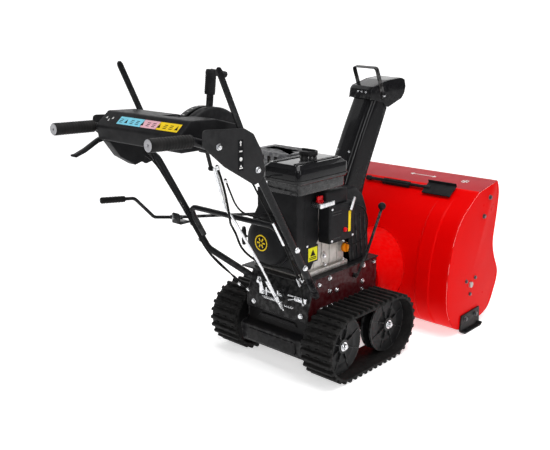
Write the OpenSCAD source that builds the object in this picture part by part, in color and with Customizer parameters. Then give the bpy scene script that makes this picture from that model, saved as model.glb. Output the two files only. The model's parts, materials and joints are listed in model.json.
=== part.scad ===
// Two stage snowblower on rubber tracks: collecting auger, impeller, turning chute,
// horizontal shaft engine, control handles. Millimetres, +Z up, ground at z = 0.
// The auger opening faces -Y, the operator stands at +Y, the machine's right side is -X.

/* [Auger housing] */
// outer width of the collecting housing
clearing_w = 730; // [560:10:900]
// thickness of the housing's sheet steel
sheet = 3; // [2:0.5:5]
// outer radius of the auger flights
auger_r = 162; // [120:1:166]
// height of the auger shaft above the ground
auger_z = 200; // [190:1:215]
// outer radius of the impeller drum
drum_r = 158; // [120:1:170]
// height of the impeller shaft above the ground
impeller_z = 255; // [240:1:262]

/* [Tracks] */
// width of one rubber track
track_w = 138; // [100:2:150]
// distance of a track's middle from the centre plane
track_x = 234; // [225:1:245]
// radius of the track over its outer lugs
track_r = 130; // [125:1:132]
// distance between the drive wheel and the idler wheel
wheel_base = 282; // [240:2:300]

/* [Chute] */
// height of the chute's rim above the ground
chute_top = 1000; // [880:10:1030]
// forward lean of the chute in degrees
chute_lean = 19; // [12:1:24]
// turn of the chute at rest, towards the machine's right, in degrees
chute_yaw = 16; // [0:1:30]
// inside width of the chute channel
chute_w = 130; // [110:2:140]

/* [Handles] */
// distance of a handle tube from the centre plane
tube_x = 243; // [230:1:250]
// outer radius of a handle tube
tube_r = 12.5; // [10:0.5:14]
// outer radius of a rubber hand grip
grip_r = 19; // [16:0.5:20]

/* [Hidden] */
$fn = 48;
eps = 0.01;
half_w = clearing_w / 2;
auger_y = -655;
drum_back = -282;
wheel_y = 72;
idler_y = wheel_y - wheel_base;
wheel_z = track_r;
belt_r = track_r - 11;
belt_t = 9;
chute_x = 112;
chute_y = -346;
chute_z = 446;
crank_z = 503;
deck_z = 366;
pulley_y = -235;

// auger housing outline in the (y, z) plane
shell_path = [[-836, 612], [-760, 600], [-685, 585], [-609, 537], [-553, 492],
  [-510, 425], [-482, 345], [-470, 262], [-470, 182], [-482, 124], [-512, 72],
  [-556, 32], [-612, 12]];
cheek = [[-836, 612], [-853, 561], [-846, 470], [-831, 354], [-850, 285], [-884, 225],
  [-892, 194], [-880, 145], [-830, 58], [-745, 27], [-612, 12], [-556, 32],
  [-512, 72], [-482, 124], [-470, 182], [-470, 262], [-482, 345], [-510, 425],
  [-553, 492], [-609, 537], [-685, 585], [-760, 600]];

// left handle tube route, right one mirrored
tube_route = [[168, 120, 322], [tube_x, 258, 442], [tube_x, 480, 812], [tube_x, 580, 898],
  [tube_x - 12, 735, 952], [tube_x - 17, 878, 957]];
crossbar_route = [[217, 300, 508], [215, 350, 592], [207, 364, 617], [186, 371, 629],
  [-186, 371, 629], [-207, 364, 617], [-215, 350, 592], [-217, 300, 508]];
tube_end = tube_route[5];
tube_bend = tube_route[4];

// turning axes
lever_pivot = [229, 530, 932];
trigger_pivot = [211, 700, 921];
shift_pivot = [-62, 530, 880];
crank_bend = [280, 478, 597];
crank_joint = [280, 374, 577];
crank_nose = [196, -262, 492];
deflector_pivot = [0, -170, 534];

// control cable routes
clutch_route = [[218, 548, 905], [216, 534, 862], [222, 514, 818], [228, 498, 796],
  [228, 470, 752], [228, 416, 667], [228, 339, 540], [222, 290, 452], [206, 250, 400],
  [178, 205, 340], [158, 175, 290]];
steer_route = [[206, 706, 905], [204, 650, 880], [208, 560, 838], [216, 500, 786],
  [218, 416, 658], [218, 339, 530], [211, 290, 443], [188, 250, 384], [140, 205, 326],
  [110, 175, 280]];
throttle_route = [[-106, 530, 840], [-106, 504, 770], [-100, 482, 706], [-86, 460, 654],
  [-40, 412, 618], [-8, 372, 590], [-2, 350, 560], [-6, 330, 512], [-28, 310, 478],
  [-61, 285, 454], [-104, 265, 444], [-143, 242, 440], [-150, 206, 414], [-148, 178, 384]];
choke_route = [[-136, 524, 800], [-110, 476, 742], [-86, 434, 698], [-80, 404, 668],
  [-92, 384, 652], [-122, 362, 642], [-144, 334, 618], [-160, 310, 586], [-165, 290, 548],
  [-170, 270, 509], [-172, 246, 468], [-168, 206, 420], [-160, 182, 380]];
box_route = [[-156, -91, 612], [-164, -120, 606], [-170, -150, 590], [-171, -176, 556],
  [-171, -180, 510], [-170, -156, 474], [-169, -112, 461], [-166, -66, 468],
  [-158, -40, 490]];

// ---- helpers -------------------------------------------------------------------------

// outline in the (y, z) plane drawn out along x
module along_x(x0, x1) translate([x0, 0, 0]) rotate([90, 0, 90])
  linear_extrude(height = x1 - x0) children();

// outline in the (x, z) plane drawn out along y
module along_y(y0, y1) translate([0, y1, 0]) rotate([90, 0, 0])
  linear_extrude(height = y1 - y0) children();

// round bar along x at (y, z)
module bar_x(r, x0, x1, y, z) translate([x0, y, z]) rotate([0, 90, 0])
  cylinder(h = x1 - x0, r = r);

// round bar along y at (x, z)
module bar_y(r, y0, y1, x, z) translate([x, y0, z]) rotate([-90, 0, 0])
  cylinder(h = y1 - y0, r = r);

// round bar between two points
module bar(a, b, r) {
  d = b - a;
  n = norm(d);
  translate(a) rotate([0, acos(d[2] / n), atan2(d[1], d[0])]) cylinder(h = n, r = r);
}

// round bar through a list of points, with round elbows
module bent_bar(p, r) {
  for (i = [0 : len(p) - 2]) bar(p[i], p[i + 1], r);
  for (i = [1 : len(p) - 2]) translate(p[i]) sphere(r = r * 1.07);
}

module box(a, b) translate(a) cube(b - a);

// left part and its mirror image on the right
module both_sides() {
  children();
  mirror([1, 0, 0]) children();
}

// path moved sideways by d, for sheets of even thickness
function side_step(p, i, d) = let (
  a = p[max(i - 1, 0)],
  b = p[min(i + 1, len(p) - 1)],
  t = (b - a) / norm(b - a)) p[i] + d * [-t[1], t[0]];
function band(p, d) = concat(p,
  [for (i = [len(p) - 1 : -1 : 0]) side_step(p, i, d)]);

// smooth curve through control points
function blend3(a, b, c, d, t) = 0.5 * ((2 * b) + (c - a) * t
  + (2 * a - 5 * b + 4 * c - d) * t * t + (3 * b - a - 3 * c + d) * t * t * t);
function curve(p, n) = [for (i = [0 : len(p) - 2], k = [0 : n - 1])
  blend3(p[max(i - 1, 0)], p[i], p[i + 1], p[min(i + 2, len(p) - 1)], k / n), p[len(p) - 1]];

// cable swept along a curve as one closed skin
module cable(route, r, side, n = 4, sides = 8) {
  p = curve(route, n);
  m = len(p);
  rings = [for (i = [0 : m - 1]) let (
    t = p[min(i + 1, m - 1)] - p[max(i - 1, 0)],
    u = cross(t, side) / norm(cross(t, side)),
    v = cross(t, u) / norm(t))
    for (k = [0 : sides - 1]) p[i] + r * (cos(360 * k / sides) * u + sin(360 * k / sides) * v)];
  walls = [for (i = [0 : m - 2], k = [0 : sides - 1]) let (
    a = i * sides + k,
    b = i * sides + (k + 1) % sides) [a, b, b + sides, a + sides]];
  ends = [[for (k = [sides - 1 : -1 : 0]) k], [for (k = [0 : sides - 1]) (m - 1) * sides + k]];
  polyhedron(points = rings, faces = concat(walls, ends), convexity = 8);
}

// hexagon bolt head with washer, pointing along +z
module bolt_head(d) {
  cylinder(h = 1.5, d = d * 2.1);
  translate([0, 0, 1.5]) linear_extrude(height = d * 0.6)
    polygon([for (a = [0 : 60 : 300]) d * 0.95 * [cos(a), sin(a)]]);
}
module bolt_px(x, y, z, d) translate([x, y, z]) rotate([0, 90, 0]) bolt_head(d);
module bolt_py(x, y, z, d) translate([x, y, z]) rotate([-90, 0, 0]) bolt_head(d);

// ---- auger housing -------------------------------------------------------------------

module housing_shell() color("#c40d12") {
  hw = half_w - sheet;
  difference() {
    along_x(-hw, hw) polygon(band(shell_path, -sheet));
    bar_y(drum_r, -540, -420, 0, impeller_z);
  }
}

module housing_cheeks() color("#c40d12") both_sides() difference() {
  along_x(half_w - sheet, half_w) polygon(cheek);
  bar_x(12.6, half_w - 10, half_w + 10, auger_y, auger_z);
}

module impeller_drum() color("#b90c10") difference() {
  union() {
    bar_y(drum_r, -540, drum_back, 0, impeller_z);
    translate([chute_x, chute_y, impeller_z]) cylinder(h = chute_z - impeller_z - 2, r = 60);
    translate([chute_x, chute_y, chute_z - 60]) cylinder(h = 58, r = 60);
  }
  along_x(-200, 200) polygon(concat(shell_path, [[-1000, 12], [-1000, 612]]));
  bar_y(drum_r - sheet, -600, drum_back - sheet, 0, impeller_z);
  translate([chute_x, chute_y, impeller_z]) cylinder(h = 300, r = 57);
  bar_y(12.55, drum_back - 20, drum_back + 10, 0, impeller_z);
}

module chute_collar() color("#1c1c1e") translate([chute_x, chute_y, 0]) difference() {
  translate([0, 0, chute_z - 22]) cylinder(h = 14, r = 82);
  translate([0, 0, chute_z - 40]) cylinder(h = 60, r = 60.01);
}

module scraper_bar() color("#2a2a2c") box([-half_w + 4, -668, 4], [half_w - 4, -613, 10]);

module skid_shoes() color("#141415") both_sides() difference() {
  union() {
    along_x(half_w + 0.5, half_w + 6.5)
      polygon([[-744, 10], [-730, 0], [-598, 0], [-582, 12], [-588, 78], [-736, 82]]);
    along_x(half_w + 6.5, half_w + 22)
      polygon([[-744, 10], [-730, 0], [-598, 0], [-582, 12], [-586, 16], [-601, 6],
        [-728, 6], [-740, 15]]);
  }
  for (y = [-706, -620]) bar_x(6, half_w, half_w + 40, y, 58);
}

module housing_bolts() color("#3a3a3d") {
  both_sides() {
    bolt_px(half_w + eps, -775, 553, 10);
    bolt_px(half_w + eps, -733, 479, 10);
    for (q = [[-618, 222], [-692, 222], [-655, 158]]) bolt_px(half_w + eps, q[0], q[1], 8);
    for (y = [-706, -620]) bolt_px(half_w + 6.5 + eps, y, 58, 10);
    difference() {
      bar_x(30, half_w + eps, half_w + 4, auger_y, auger_z);
      bar_x(12.6, half_w - 5, half_w + 5, auger_y, auger_z);
    }
  }
}

module gearbox() color("#5a5c5f") difference() {
  union() {
    bar_x(46, -32, 32, auger_y, auger_z);
    bar_x(24, -52, 52, auger_y, auger_z);
    bar_y(28, auger_y, -560, 0, impeller_z);
    box([-28, -690, 200], [28, -600, impeller_z]);
  }
  bar_x(12.55, -60, 60, auger_y, auger_z);
  bar_y(12.55, auger_y + 20, -550, 0, impeller_z);
}

// ---- auger and impeller --------------------------------------------------------------

module auger_shaft() color("#7c7e82") {
  bar_x(12.5, -half_w - 8, half_w + 8, auger_y, auger_z);
  both_sides() bar_x(17, 56, half_w - 10, auger_y, auger_z);
}

// ribbon flight: half helix band of flat steel
module ribbon(x0, x1, start, turn, steps = 20) {
  inner = auger_r - 42;
  pts = [for (i = [0 : steps]) let (
    a = start + turn * i / steps,
    x = x0 + (x1 - x0) * i / steps,
    c = [0, cos(a), sin(a)])
    each [[x - 2, 0, 0] + inner * c, [x - 2, 0, 0] + auger_r * c,
      [x + 2, 0, 0] + auger_r * c, [x + 2, 0, 0] + inner * c]];
  walls = [for (i = [0 : steps - 1], k = [0 : 3]) let (
    a = 4 * i + k,
    b = 4 * i + (k + 1) % 4) [a, b, b + 4, a + 4]];
  ends = [[3, 2, 1, 0], [4 * steps, 4 * steps + 1, 4 * steps + 2, 4 * steps + 3]];
  translate([0, auger_y, auger_z]) polyhedron(points = pts, faces = concat(walls, ends));
}

module auger_half() {
  ribbon(70, half_w - 20, 0, 300);
  ribbon(70, half_w - 20, 180, 300);
  difference() {
    for (s = [[100, -57.3], [210, 62.7], [320, 182.7]])
      translate([s[0], auger_y, auger_z]) rotate([s[1], 0, 0])
        box([-6, -auger_r + 20, -3], [6, auger_r - 20, 3]);
    bar_x(17.3, 60, half_w, auger_y, auger_z);
  }
  difference() {
    for (x = [100, 210, 320]) bar_x(24, x - 12, x + 12, auger_y, auger_z);
    bar_x(17.3, 60, half_w, auger_y, auger_z);
  }
}

module auger_left() color("#1a1a1c") auger_half();
module auger_right() color("#1a1a1c") mirror([1, 0, 0]) auger_half();

// belt pulley of outer radius r on a shaft along y
module grooved(r, z) translate([0, pulley_y, z]) rotate([90, 0, 0]) rotate_extrude($fn = 64)
  polygon([[8, -11], [r, -11], [r, -6], [r - 9, -6], [r - 9, 6], [r, 6], [r, 11], [8, 11]]);

module impeller() color("#18181a") {
  bar_y(12.5, -632, -214, 0, impeller_z);
  bar_y(30, -450, -330, 0, impeller_z);
  for (a = [0 : 90 : 270]) translate([0, 0, impeller_z]) rotate([0, a, 0]) {
    box([-2.5, -455, 20], [2.5, -320, drum_r - 12]);
    box([-2.5, -455, drum_r - 60], [22, -450, drum_r - 16]);
  }
  bar_y(20, -272, pulley_y + 12, 0, impeller_z);
  grooved(98, impeller_z);
}

// ---- chassis and tracks --------------------------------------------------------------

module chassis_tub() color("#1d1d1f") difference() {
  union() {
    along_x(-150, 150) polygon([[-280, deck_z], [-280, 110], [-230, 90], [118, 62],
      [166, 72], [176, 142], [172, 146], [134, 152], [134, 202], [142, 206], [142, 252],
      [100, deck_z], [96, deck_z], [138, 250], [138, 208], [130, 204], [130, 148],
      [168, 142], [160, 80], [118, 66], [-228, 94], [-276, 114], [-276, deck_z]]);
    both_sides() along_x(146, 150) polygon([[-280, deck_z], [-280, 110], [-230, 90],
      [118, 62], [166, 72], [176, 142], [172, 146], [134, 152], [134, 202], [142, 206],
      [142, 252], [100, deck_z]]);
  }
  for (y = [wheel_y, idler_y]) bar_x(15.05, -200, 200, y, wheel_z);
  bar_y(24, -300, -260, 0, impeller_z);
}

module engine_deck() color("#171718") difference() {
  box([-158, -280, deck_z + 0.3], [158, 165, deck_z + 6]);
  box([-112, -254, deck_z - 10], [112, -216, deck_z + 20]);
}

module zinc_bolts() color("#b9bcc0") {
  both_sides() chassis_bolts();
  bar_x(5, 199, 231, trigger_pivot[1], trigger_pivot[2]);
  // shift linkage behind the chassis
  bar_x(6, -52, 60, 168, 300);
  for (x = [-34, 22]) box([x - 3, 144, 284], [x + 3, 176, 316]);
  box([52, 160, 284], [58, 178, 344]);
  bar_y(7, 178.1, 186, 55, 334);
  box([-128, 144, 286], [-96, 150, 304]);
  for (x = [-120, -104]) bar_y(6, 150, 158, x, 295);
}
module chassis_bolts() {
  for (q = [[-262, 348], [-194, 350], [-186, 287], [-186, 254], [-27, 293], [17, 350],
    [17, 300], [78, 338]]) bolt_px(150 + eps, q[0], q[1], 9);
  bolt_py(118, 142 + eps, 228, 9);
  for (q = [[664, 930], [507, 842]]) bolt_px(tube_x + 16 + eps, q[0], q[1], 9);
  for (q = [[323, 549], [283, 478]]) bolt_px(tube_x + tube_r + 0.3, q[0], q[1], 9);
  bar_x(6, 195.2, 255.8, lever_pivot[1], lever_pivot[2]);
}

module track_frames() color("#3a0c0e") both_sides() difference() {
  union() {
    along_x(190, 197) polygon([[idler_y - 24, wheel_z - 14], [wheel_y + 24, wheel_z - 14],
      [wheel_y + 24, wheel_z + 14], [wheel_y - 30, wheel_z + 24], [idler_y + 30, wheel_z + 24],
      [idler_y - 24, wheel_z + 14]]);
    box([150.3, -64, wheel_z - 10], [191, -24, wheel_z + 22]);
  }
  for (y = [wheel_y, idler_y]) bar_x(15.05, 180, 210, y, wheel_z);
}

// track outline: point of a stadium at distance s, moved outwards by r
lugs = 42;
run = 2 * wheel_base + 2 * PI * belt_r;
function lap(s, r) = let (q = PI * belt_r)
  s < wheel_base ? [idler_y + s, wheel_z + r]
  : s < wheel_base + q ? let (a = 90 - 180 * (s - wheel_base) / q)
    [wheel_y + r * cos(a), wheel_z + r * sin(a)]
  : s < 2 * wheel_base + q ? [wheel_y - (s - wheel_base - q), wheel_z - r]
  : let (a = -90 - 180 * (s - 2 * wheel_base - q) / q)
    [idler_y + r * cos(a), wheel_z + r * sin(a)];
function wrap(s) = s - run * floor(s / run);
belt_out = [for (i = [0 : lugs - 1]) let (c = run * i / lugs) each
  [lap(wrap(c - 9.5), belt_r), lap(wrap(c - 5.5), track_r), lap(wrap(c + 5.5), track_r),
    lap(wrap(c + 9.5), belt_r)]];
belt_in = [for (i = [0 : lugs - 1]) let (c = run * i / lugs) each
  [lap(wrap(c - 8), belt_r - belt_t), lap(wrap(c + 8), belt_r - belt_t)]];

module belt() {
  w = track_w / 2;
  difference() {
    along_x(track_x - w, track_x + w) polygon(belt_out);
    along_x(track_x - w - 1, track_x + w + 1) polygon(belt_in);
  }
}
module track_belt_left() color("#1f2022") belt();
module track_belt_right() color("#1f2022") mirror([1, 0, 0]) belt();

// pressed steel track wheel on a stub axle
module wheel(y, drive) translate([0, y, wheel_z]) {
  r = belt_r - belt_t - 0.6;
  difference() {
    union() {
      bar_x(r, track_x - 22, track_x - 16, 0, 0);
      bar_x(r, track_x + 16, track_x + 22, 0, 0);
      bar_x(60, track_x - 20, track_x + 20, 0, 0);
      bar_x(26, track_x - 34, track_x + 30, 0, 0);
      bar_x(15, drive ? 120 : 135, track_x + 32, 0, 0);
      if (drive) bar_x(42, 154, 160, 0, 0);
    }
    for (a = [0 : 45 : 315]) rotate([a, 0, 0]) bar_x(14, 190, 290, 80, 0, $fn = 24);
  }
  translate([track_x + 31.9, 0, 0]) rotate([0, 90, 0]) cylinder(h = 13, r = 12, $fn = 6);
}
module drive_wheel_left() color("#8d8f92") wheel(wheel_y, true);
module drive_wheel_right() color("#8d8f92") mirror([1, 0, 0]) wheel(wheel_y, true);
module idler_wheel_left() color("#8d8f92") wheel(idler_y, false);
module idler_wheel_right() color("#8d8f92") mirror([1, 0, 0]) wheel(idler_y, false);

// ---- engine --------------------------------------------------------------------------

module crankcase() color("#a9a79f") difference() {
  union() {
    box([-132, -112, deck_z + 6.3], [118, 138, deck_z + 24]);
    box([-118, -104, deck_z + 20], [104, 130, 500]);
    bar_y(100, -104, 130, 0, crank_z);
    bar_y(60, -130, -100, 0, crank_z);
    bar_x(20, -136, -90, -84, 446);
  }
  bar_y(14.05, -140, -80, 0, crank_z);
  bar_x(12, -140, -126, -84, 446);
}

module cylinder_block() color("#8f8e88") difference() {
  translate([76, 0, 575]) rotate([0, 60, 0]) {
    for (i = [0 : 5]) translate([-58, -66, 8 + i * 9]) cube([116, 132, 4]);
    cylinder(h = 64, r = 46);
    translate([-52, -60, 60]) cube([104, 120, 22]);
    translate([-34, -44, 81]) cube([68, 88, 14]);
  }
  bar_y(100.2, -110, 136, 0, crank_z);
  box([-120, -105, 360], [104.2, 131, 500.2]);
}

module fan_shroud() color("#161617") difference() {
  union() {
    along_y(138.3, 178) polygon([[-128, 396], [70, 396], [90, 430], [98, 466], [100, 503],
      [96, 540], [82, 580], [60, 620], [60, 690], [-128, 690]]);
    bar_y(100, 138.3, 186, -4, crank_z);
    // side wing that runs forward beside the engine
    along_x(-127.5, -122) polygon([[139, 400], [139, 688], [60.5, 688], [60.5, 500],
      [84, 470], [84, 424], [100, 400]]);
  }
  bar_y(88, 130, 190, -4, crank_z);
  box([-112, 130, 620], [48, 172, 678]);
}

module recoil_cover() color("#131314") translate([-4, 0, crank_z]) rotate([-90, 0, 0])
  difference() {
    rotate_extrude($fn = 72) polygon([[0, 186.3], [92, 186.3], [92, 194], [84, 212],
      [62, 224], [40, 228], [0, 228]]);
    rotate_extrude($fn = 72) polygon([[0, 186], [80, 186], [78, 209], [56, 220], [0, 222]]);
    for (a = [15 : 30 : 345]) rotate(a) translate([52, -3, 184]) cube([18, 6, 60]);
    translate([60, 0, 200]) rotate([0, 90, 0]) cylinder(h = 60, r = 3);
  }

module recoil_handle() color("#202022") {
  bar_x(2, -60, 100, 200, crank_z);
  translate([96, 200, crank_z]) rotate([0, 90, 0]) cylinder(h = 12, r1 = 5, r2 = 8);
  bar([110, 200, crank_z - 34], [110, 200, crank_z + 34], 9);
}

module fuel_tank() color("#151517") difference() {
  union() {
    box([-186, -34, 734], [-22, 236, 790]);
    box([-180, -28, 790], [-28, 230, 806]);
    box([-190, -38, 746], [-18, 240, 756]);
    box([-180, -28, 697], [-28, 230, 738]);
    translate([-104, 90, 800]) cylinder(h = 14, r = 30);
  }
  box([-182, -30, 738], [-26, 232, 786]);
  box([-176, -24, 701], [-32, 226, 745]);
  translate([-104, 90, 780]) cylinder(h = 50, r = 22);
}

module fuel_cap() color("#1b1b1d") translate([-104, 90, 814.3]) {
  cylinder(h = 16, r = 33);
  translate([-28, -5, 16]) cube([56, 10, 6]);
  translate([0, 0, -16]) cylinder(h = 17, r = 21);
}

module muffler() color("#6b6a66") {
  box([10, -52, 700], [184, 72, 770]);
  bar([130, 10, 680], [130, 10, 702], 16);
  bar_x(13, 182, 202, -20, 735);
}

module muffler_guard() color("#77777a") difference() {
  box([-8, -60, 690], [192, 80, 802]);
  box([-5, -57, 680], [189, 77, 799]);
  for (i = [0 : 6]) box([16, -48 + i * 18, 790], [168, -38 + i * 18, 810]);
  for (i = [0 : 3]) box([180, -44 + i * 32, 766], [210, -30 + i * 32, 790]);
  for (i = [0 : 4]) box([18 + i * 34, 60, 716], [36 + i * 34, 90, 786]);
  bar_x(15, 180, 210, -20, 735);
}

module control_box() color("#18181a") difference() {
  union() {
    box([-178, -90, 492], [-124, 56, 632]);
    box([-172, 20, 632], [-128, 100, 650]);
    box([-166, -60, 632], [-20, 60, 684]);
  }
  translate([-150, 80, 641]) cylinder(h = 30, r = 8.05);
  bar_x(9.05, -190, -162, -32, 532);
  bar_x(6.05, -190, -162, -60, 610);
}

module ignition_key() color("#c8141a") translate([-150, 80, 642]) {
  cylinder(h = 9, r = 8);
  translate([0, 0, 9]) cylinder(h = 5, r = 14);
  translate([-4, -14, 13]) cube([8, 28, 18]);
}

module primer_button() color("#c8141a") bar_x(9, -187, -170, -32, 532);

module choke_lever() color("#b8bbbe") {
  bar_x(6, -183, -168, -60, 610);
  translate([-186, -60, 610]) rotate([25, 0, 0]) translate([0, -7, -8]) cube([4, 14, 50]);
}

module oil_cap() color("#d98210") translate([-136.3, -84, 446]) rotate([0, -90, 0]) {
  cylinder(h = 10, r = 19);
  translate([-15, -3, 10]) cube([30, 6, 9]);
  translate([0, 0, -8]) cylinder(h = 9, r = 11.9);
}

module belt_cover() color("#141416") difference() {
  union() {
    along_y(-254.5, -134) polygon([[-128, deck_z + 6.3], [128, deck_z + 6.3], [112, 560],
      [92, 610], [60, 636], [-60, 636], [-92, 610], [-112, 560]]);
  }
  along_y(-250.5, -120) polygon([[-124, deck_z - 1], [124, deck_z - 1], [108, 559],
    [89, 607], [58, 632], [-58, 632], [-89, 607], [-108, 559]]);
}

module drive_pulley() color("#6d6f72") {
  grooved(49, crank_z);
  bar_y(14, -248.5, -84, 0, crank_z);
}

// belt run in the (x, z) plane around the two pulleys
belt_tilt = asin((98 - 49) / (crank_z - impeller_z));
function belt_line(o) = concat(
  [for (a = [-90 - (90 + belt_tilt) : 12 : -90 + (90 + belt_tilt) + 1])
    [(89.6 + o) * cos(a), impeller_z + (89.6 + o) * sin(a)]],
  [for (a = [belt_tilt : 12 : 180 - belt_tilt + 1])
    [(40.6 + o) * cos(a), crank_z + (40.6 + o) * sin(a)]]);
module drive_belt() color("#101012") difference() {
  along_y(pulley_y - 5.4, pulley_y + 5.4) polygon(belt_line(8));
  along_y(pulley_y - 6, pulley_y + 6) polygon(belt_line(1));
}

module height_lever() color("#3b3b3e") {
  bar_x(9, -166, -151, -130, 326);
  bent_bar([[-166, -130, 326], [-186, -165, 420], [-194, -240, 578]], 5.5);
  translate([-194, -240, 584]) sphere(r = 15);
}

// ---- handles -------------------------------------------------------------------------

module handle_tubes() color("#1b1b1d") {
  both_sides() {
    bent_bar(tube_route, tube_r);
    bar_x(10, 150.3, 164, 110, 318);
  }
  difference() {
    union() {
      box([243, 337, 557], [292, 388, 561]);
      box([250, 384, 557], [292, 388, 596]);
    }
    bar(crank_joint, crank_bend, 6.06);
    bar(tube_route[1], tube_route[2], tube_r - 0.2);
  }
}

module crossbar() color("#1b1b1d") {
  bent_bar(crossbar_route, 9.5);
  both_sides() bar_x(5, 226, 230.4, 312, 529);
}

module handle_cables() color("#0f0f10") {
  both_sides() cable(clutch_route, 3, [1, 0, 0]);
  cable(steer_route, 3, [1, 0, 0]);
}
module engine_cables() color("#0f0f10") {
  cable(throttle_route, 4, [1, 0.2, 0], 3);
  cable(choke_route, 3, [1, -0.5, 0.3], 3);
  cable(box_route, 2.4, [1, 0, 0], 3);
}

dash = [[748, 914], [758, 960], [708, 1002], [610, 998], [520, 974], [498, 952], [498, 912]];
dash_in = [[744, 905], [754, 958], [706, 998], [611, 994], [522, 970], [502, 950],
  [502, 905]];
module dash_panel() color("#151517") difference() {
  along_x(-195, 195) polygon(dash);
  along_x(-191, 191) polygon(dash_in);
  box([-100.5, 380, 900], [-24.5, 672, 1030]);
}

module dash_belly() color("#1a1a1c") difference() {
  along_x(146, 182) polygon([[742, 911.7], [704, 860], [648, 826], [612, 836], [590, 896],
    [584, 911.7]]);
  along_x(149, 179) polygon([[740, 915], [701.5, 863], [648, 830], [614, 839], [593, 898],
    [588, 915]]);
}

module gear_quadrant() color("#222224") difference() {
  bar_x(138, -100, -25, 530, 880);
  bar_x(134, -96, -29, 530, 880);
  box([-120, 300, 700], [0, 800, 916]);
  box([-70, 452, 960], [-54, 626, 1040]);
}

module shift_lever() color("#1d1d1f") {
  p = shift_pivot;
  bar_x(8, p[0] - 30, p[0] + 30, p[1], p[2]);
  translate(p) rotate([6.6, 0, 0]) box([-2.5, -13, 0], [2.5, 13, 186]);
  bar([p[0], 512, 1052], [p[0], 503, 1128], 17);
  bar([p[0], 503, 1122], [p[0], 440, 1108], 10);
  bar(p, [p[0], 514, 824], 6);
  bar_x(8, p[0] - 6, p[0] + 6, 514, 822);
}

module shift_rod() color("#c3c6c9") {
  bar([-78, 514, 826], [-78, 471, 689], 6.5);
  translate([-78, 471, 689]) sphere(r = 7.5);
  bar([-78, 471, 689], [-78, 436, 645], 5);
  translate([-78, 436, 645]) sphere(r = 6);
  bar([-78, 436, 645], [-78, 190, 256], 4);
  bar([-78, 214, 294], [-78, 196, 265.5], 7);
}

module side_plates() color("#2b2b2e") both_sides() difference() {
  along_x(tube_x + 13, tube_x + 16) polygon([[722, 984], [560, 972], [522, 952],
    [489, 899], [473, 837], [490, 806], [521, 798], [642, 870], [724, 938]]);
  for (q = [[664, 930], [507, 842]]) bar_x(4, tube_x, tube_x + 30, q[0], q[1]);
}

module hand_grips() color("#121213") both_sides() difference() {
  d = (tube_end - tube_bend) / norm(tube_end - tube_bend);
  bar(tube_bend + 6 * d, tube_end + 8 * d, grip_r);
  bar(tube_bend - 5 * d, tube_end + eps * d, tube_r + 0.02);
  bar(tube_end - d, tube_end + 12 * d, 4);
}

module clutch_lever() {
  p = lever_pivot;
  difference() {
    translate(p) rotate([-25.5, 0, 0]) union() {
      box([-3, -10, 0], [3, 10, 230]);
      bar_x(14, -3, 3, 0, 0);
      bar_x(10, -3, 3, 0, 230);
    }
    bar_x(6.05, 180, 280, p[1], p[2]);
  }
}
module clutch_lever_left() color("#19191b") clutch_lever();
module clutch_lever_right() color("#19191b") mirror([1, 0, 0]) clutch_lever();

module steer_trigger() color("#19191b") {
  p = trigger_pivot;
  difference() {
    union() {
      bar_x(10, p[0] - 8, p[0] + 8, p[1], p[2]);
      along_x(p[0] - 8, p[0] + 8) polygon([[698, 912], [742, 902], [790, 878], [826, 866],
        [838, 870], [838, 876], [826, 877], [792, 890], [746, 914], [704, 929]]);
    }
    bar_x(5.05, 190, 240, p[1], p[2]);
  }
}

module crank_handle() color("#1a1a1c") {
  bent_bar([crank_joint + [0, 9.5, 1.83], crank_bend, [280, 560, 680], [280, 640, 689.2]], 6);
  bar([280, 602, 684.85], [280, 696, 695.7], 11);
  bar(crank_joint + [0, 17, 3.27], crank_joint + [0, 28, 5.38], 9);
}

module crank_shaft() color("#1a1a1c") {
  d = (crank_nose - crank_joint) / norm(crank_nose - crank_joint);
  bar(crank_joint + 10 * d, crank_nose, 6);
  bar(crank_joint + 6 * d, crank_joint + 22 * d, 9);
  translate(crank_joint) sphere(r = 7);
  bar(crank_nose - 6 * d, crank_nose + 14 * d, 9);
}

// ---- chute ---------------------------------------------------------------------------

// children drawn in the chute's own frame: base centre at the origin, throw towards -Y
module chute_frame() translate([chute_x, chute_y, chute_z]) rotate([0, 0, -chute_yaw])
  children();

// forward drift of the chute wall at four heights, growing with the curve
function chute_step(i) = [0, 58, 134, 200][i] * tan(chute_lean) / tan(19);
function chute_back(d) = [[58 - d, 7.9 + d], [58 - d - chute_step(1), 200],
  [58 - d - chute_step(2), 400], [58 - d - chute_step(3), chute_top - chute_z + d]];

module chute() color("#131315") chute_frame() {
  difference() {
    cylinder(h = 8, r = 84);
    translate([0, 0, -1]) cylinder(h = 12, r = 57);
  }
  difference() {
    along_x(-chute_w / 2 - 3, chute_w / 2 + 3) polygon(concat(chute_back(0),
      [[-38 - chute_step(3) * 0.8, 474], [-38 - chute_step(2), 400],
      [-42 - chute_step(1), 200], [-56, 7.9]]));
    along_x(-chute_w / 2, chute_w / 2) polygon(concat([[53, 0]], chute_back(3),
      [[-400, 640], [-400, 200], [-200, 60], [-70, 60], [-56, 0]]));
    translate([0, 0, -1]) cylinder(h = 30, r = 57);
  }
  for (s = [-1, 1]) {
    bar_x(5, s * 75 - 8, s * 75 + 8, deflector_pivot[1], deflector_pivot[2]);
    bar_x(9, s * 82 - 2, s * 82 + 2, deflector_pivot[1], deflector_pivot[2]);
  }
}

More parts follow.
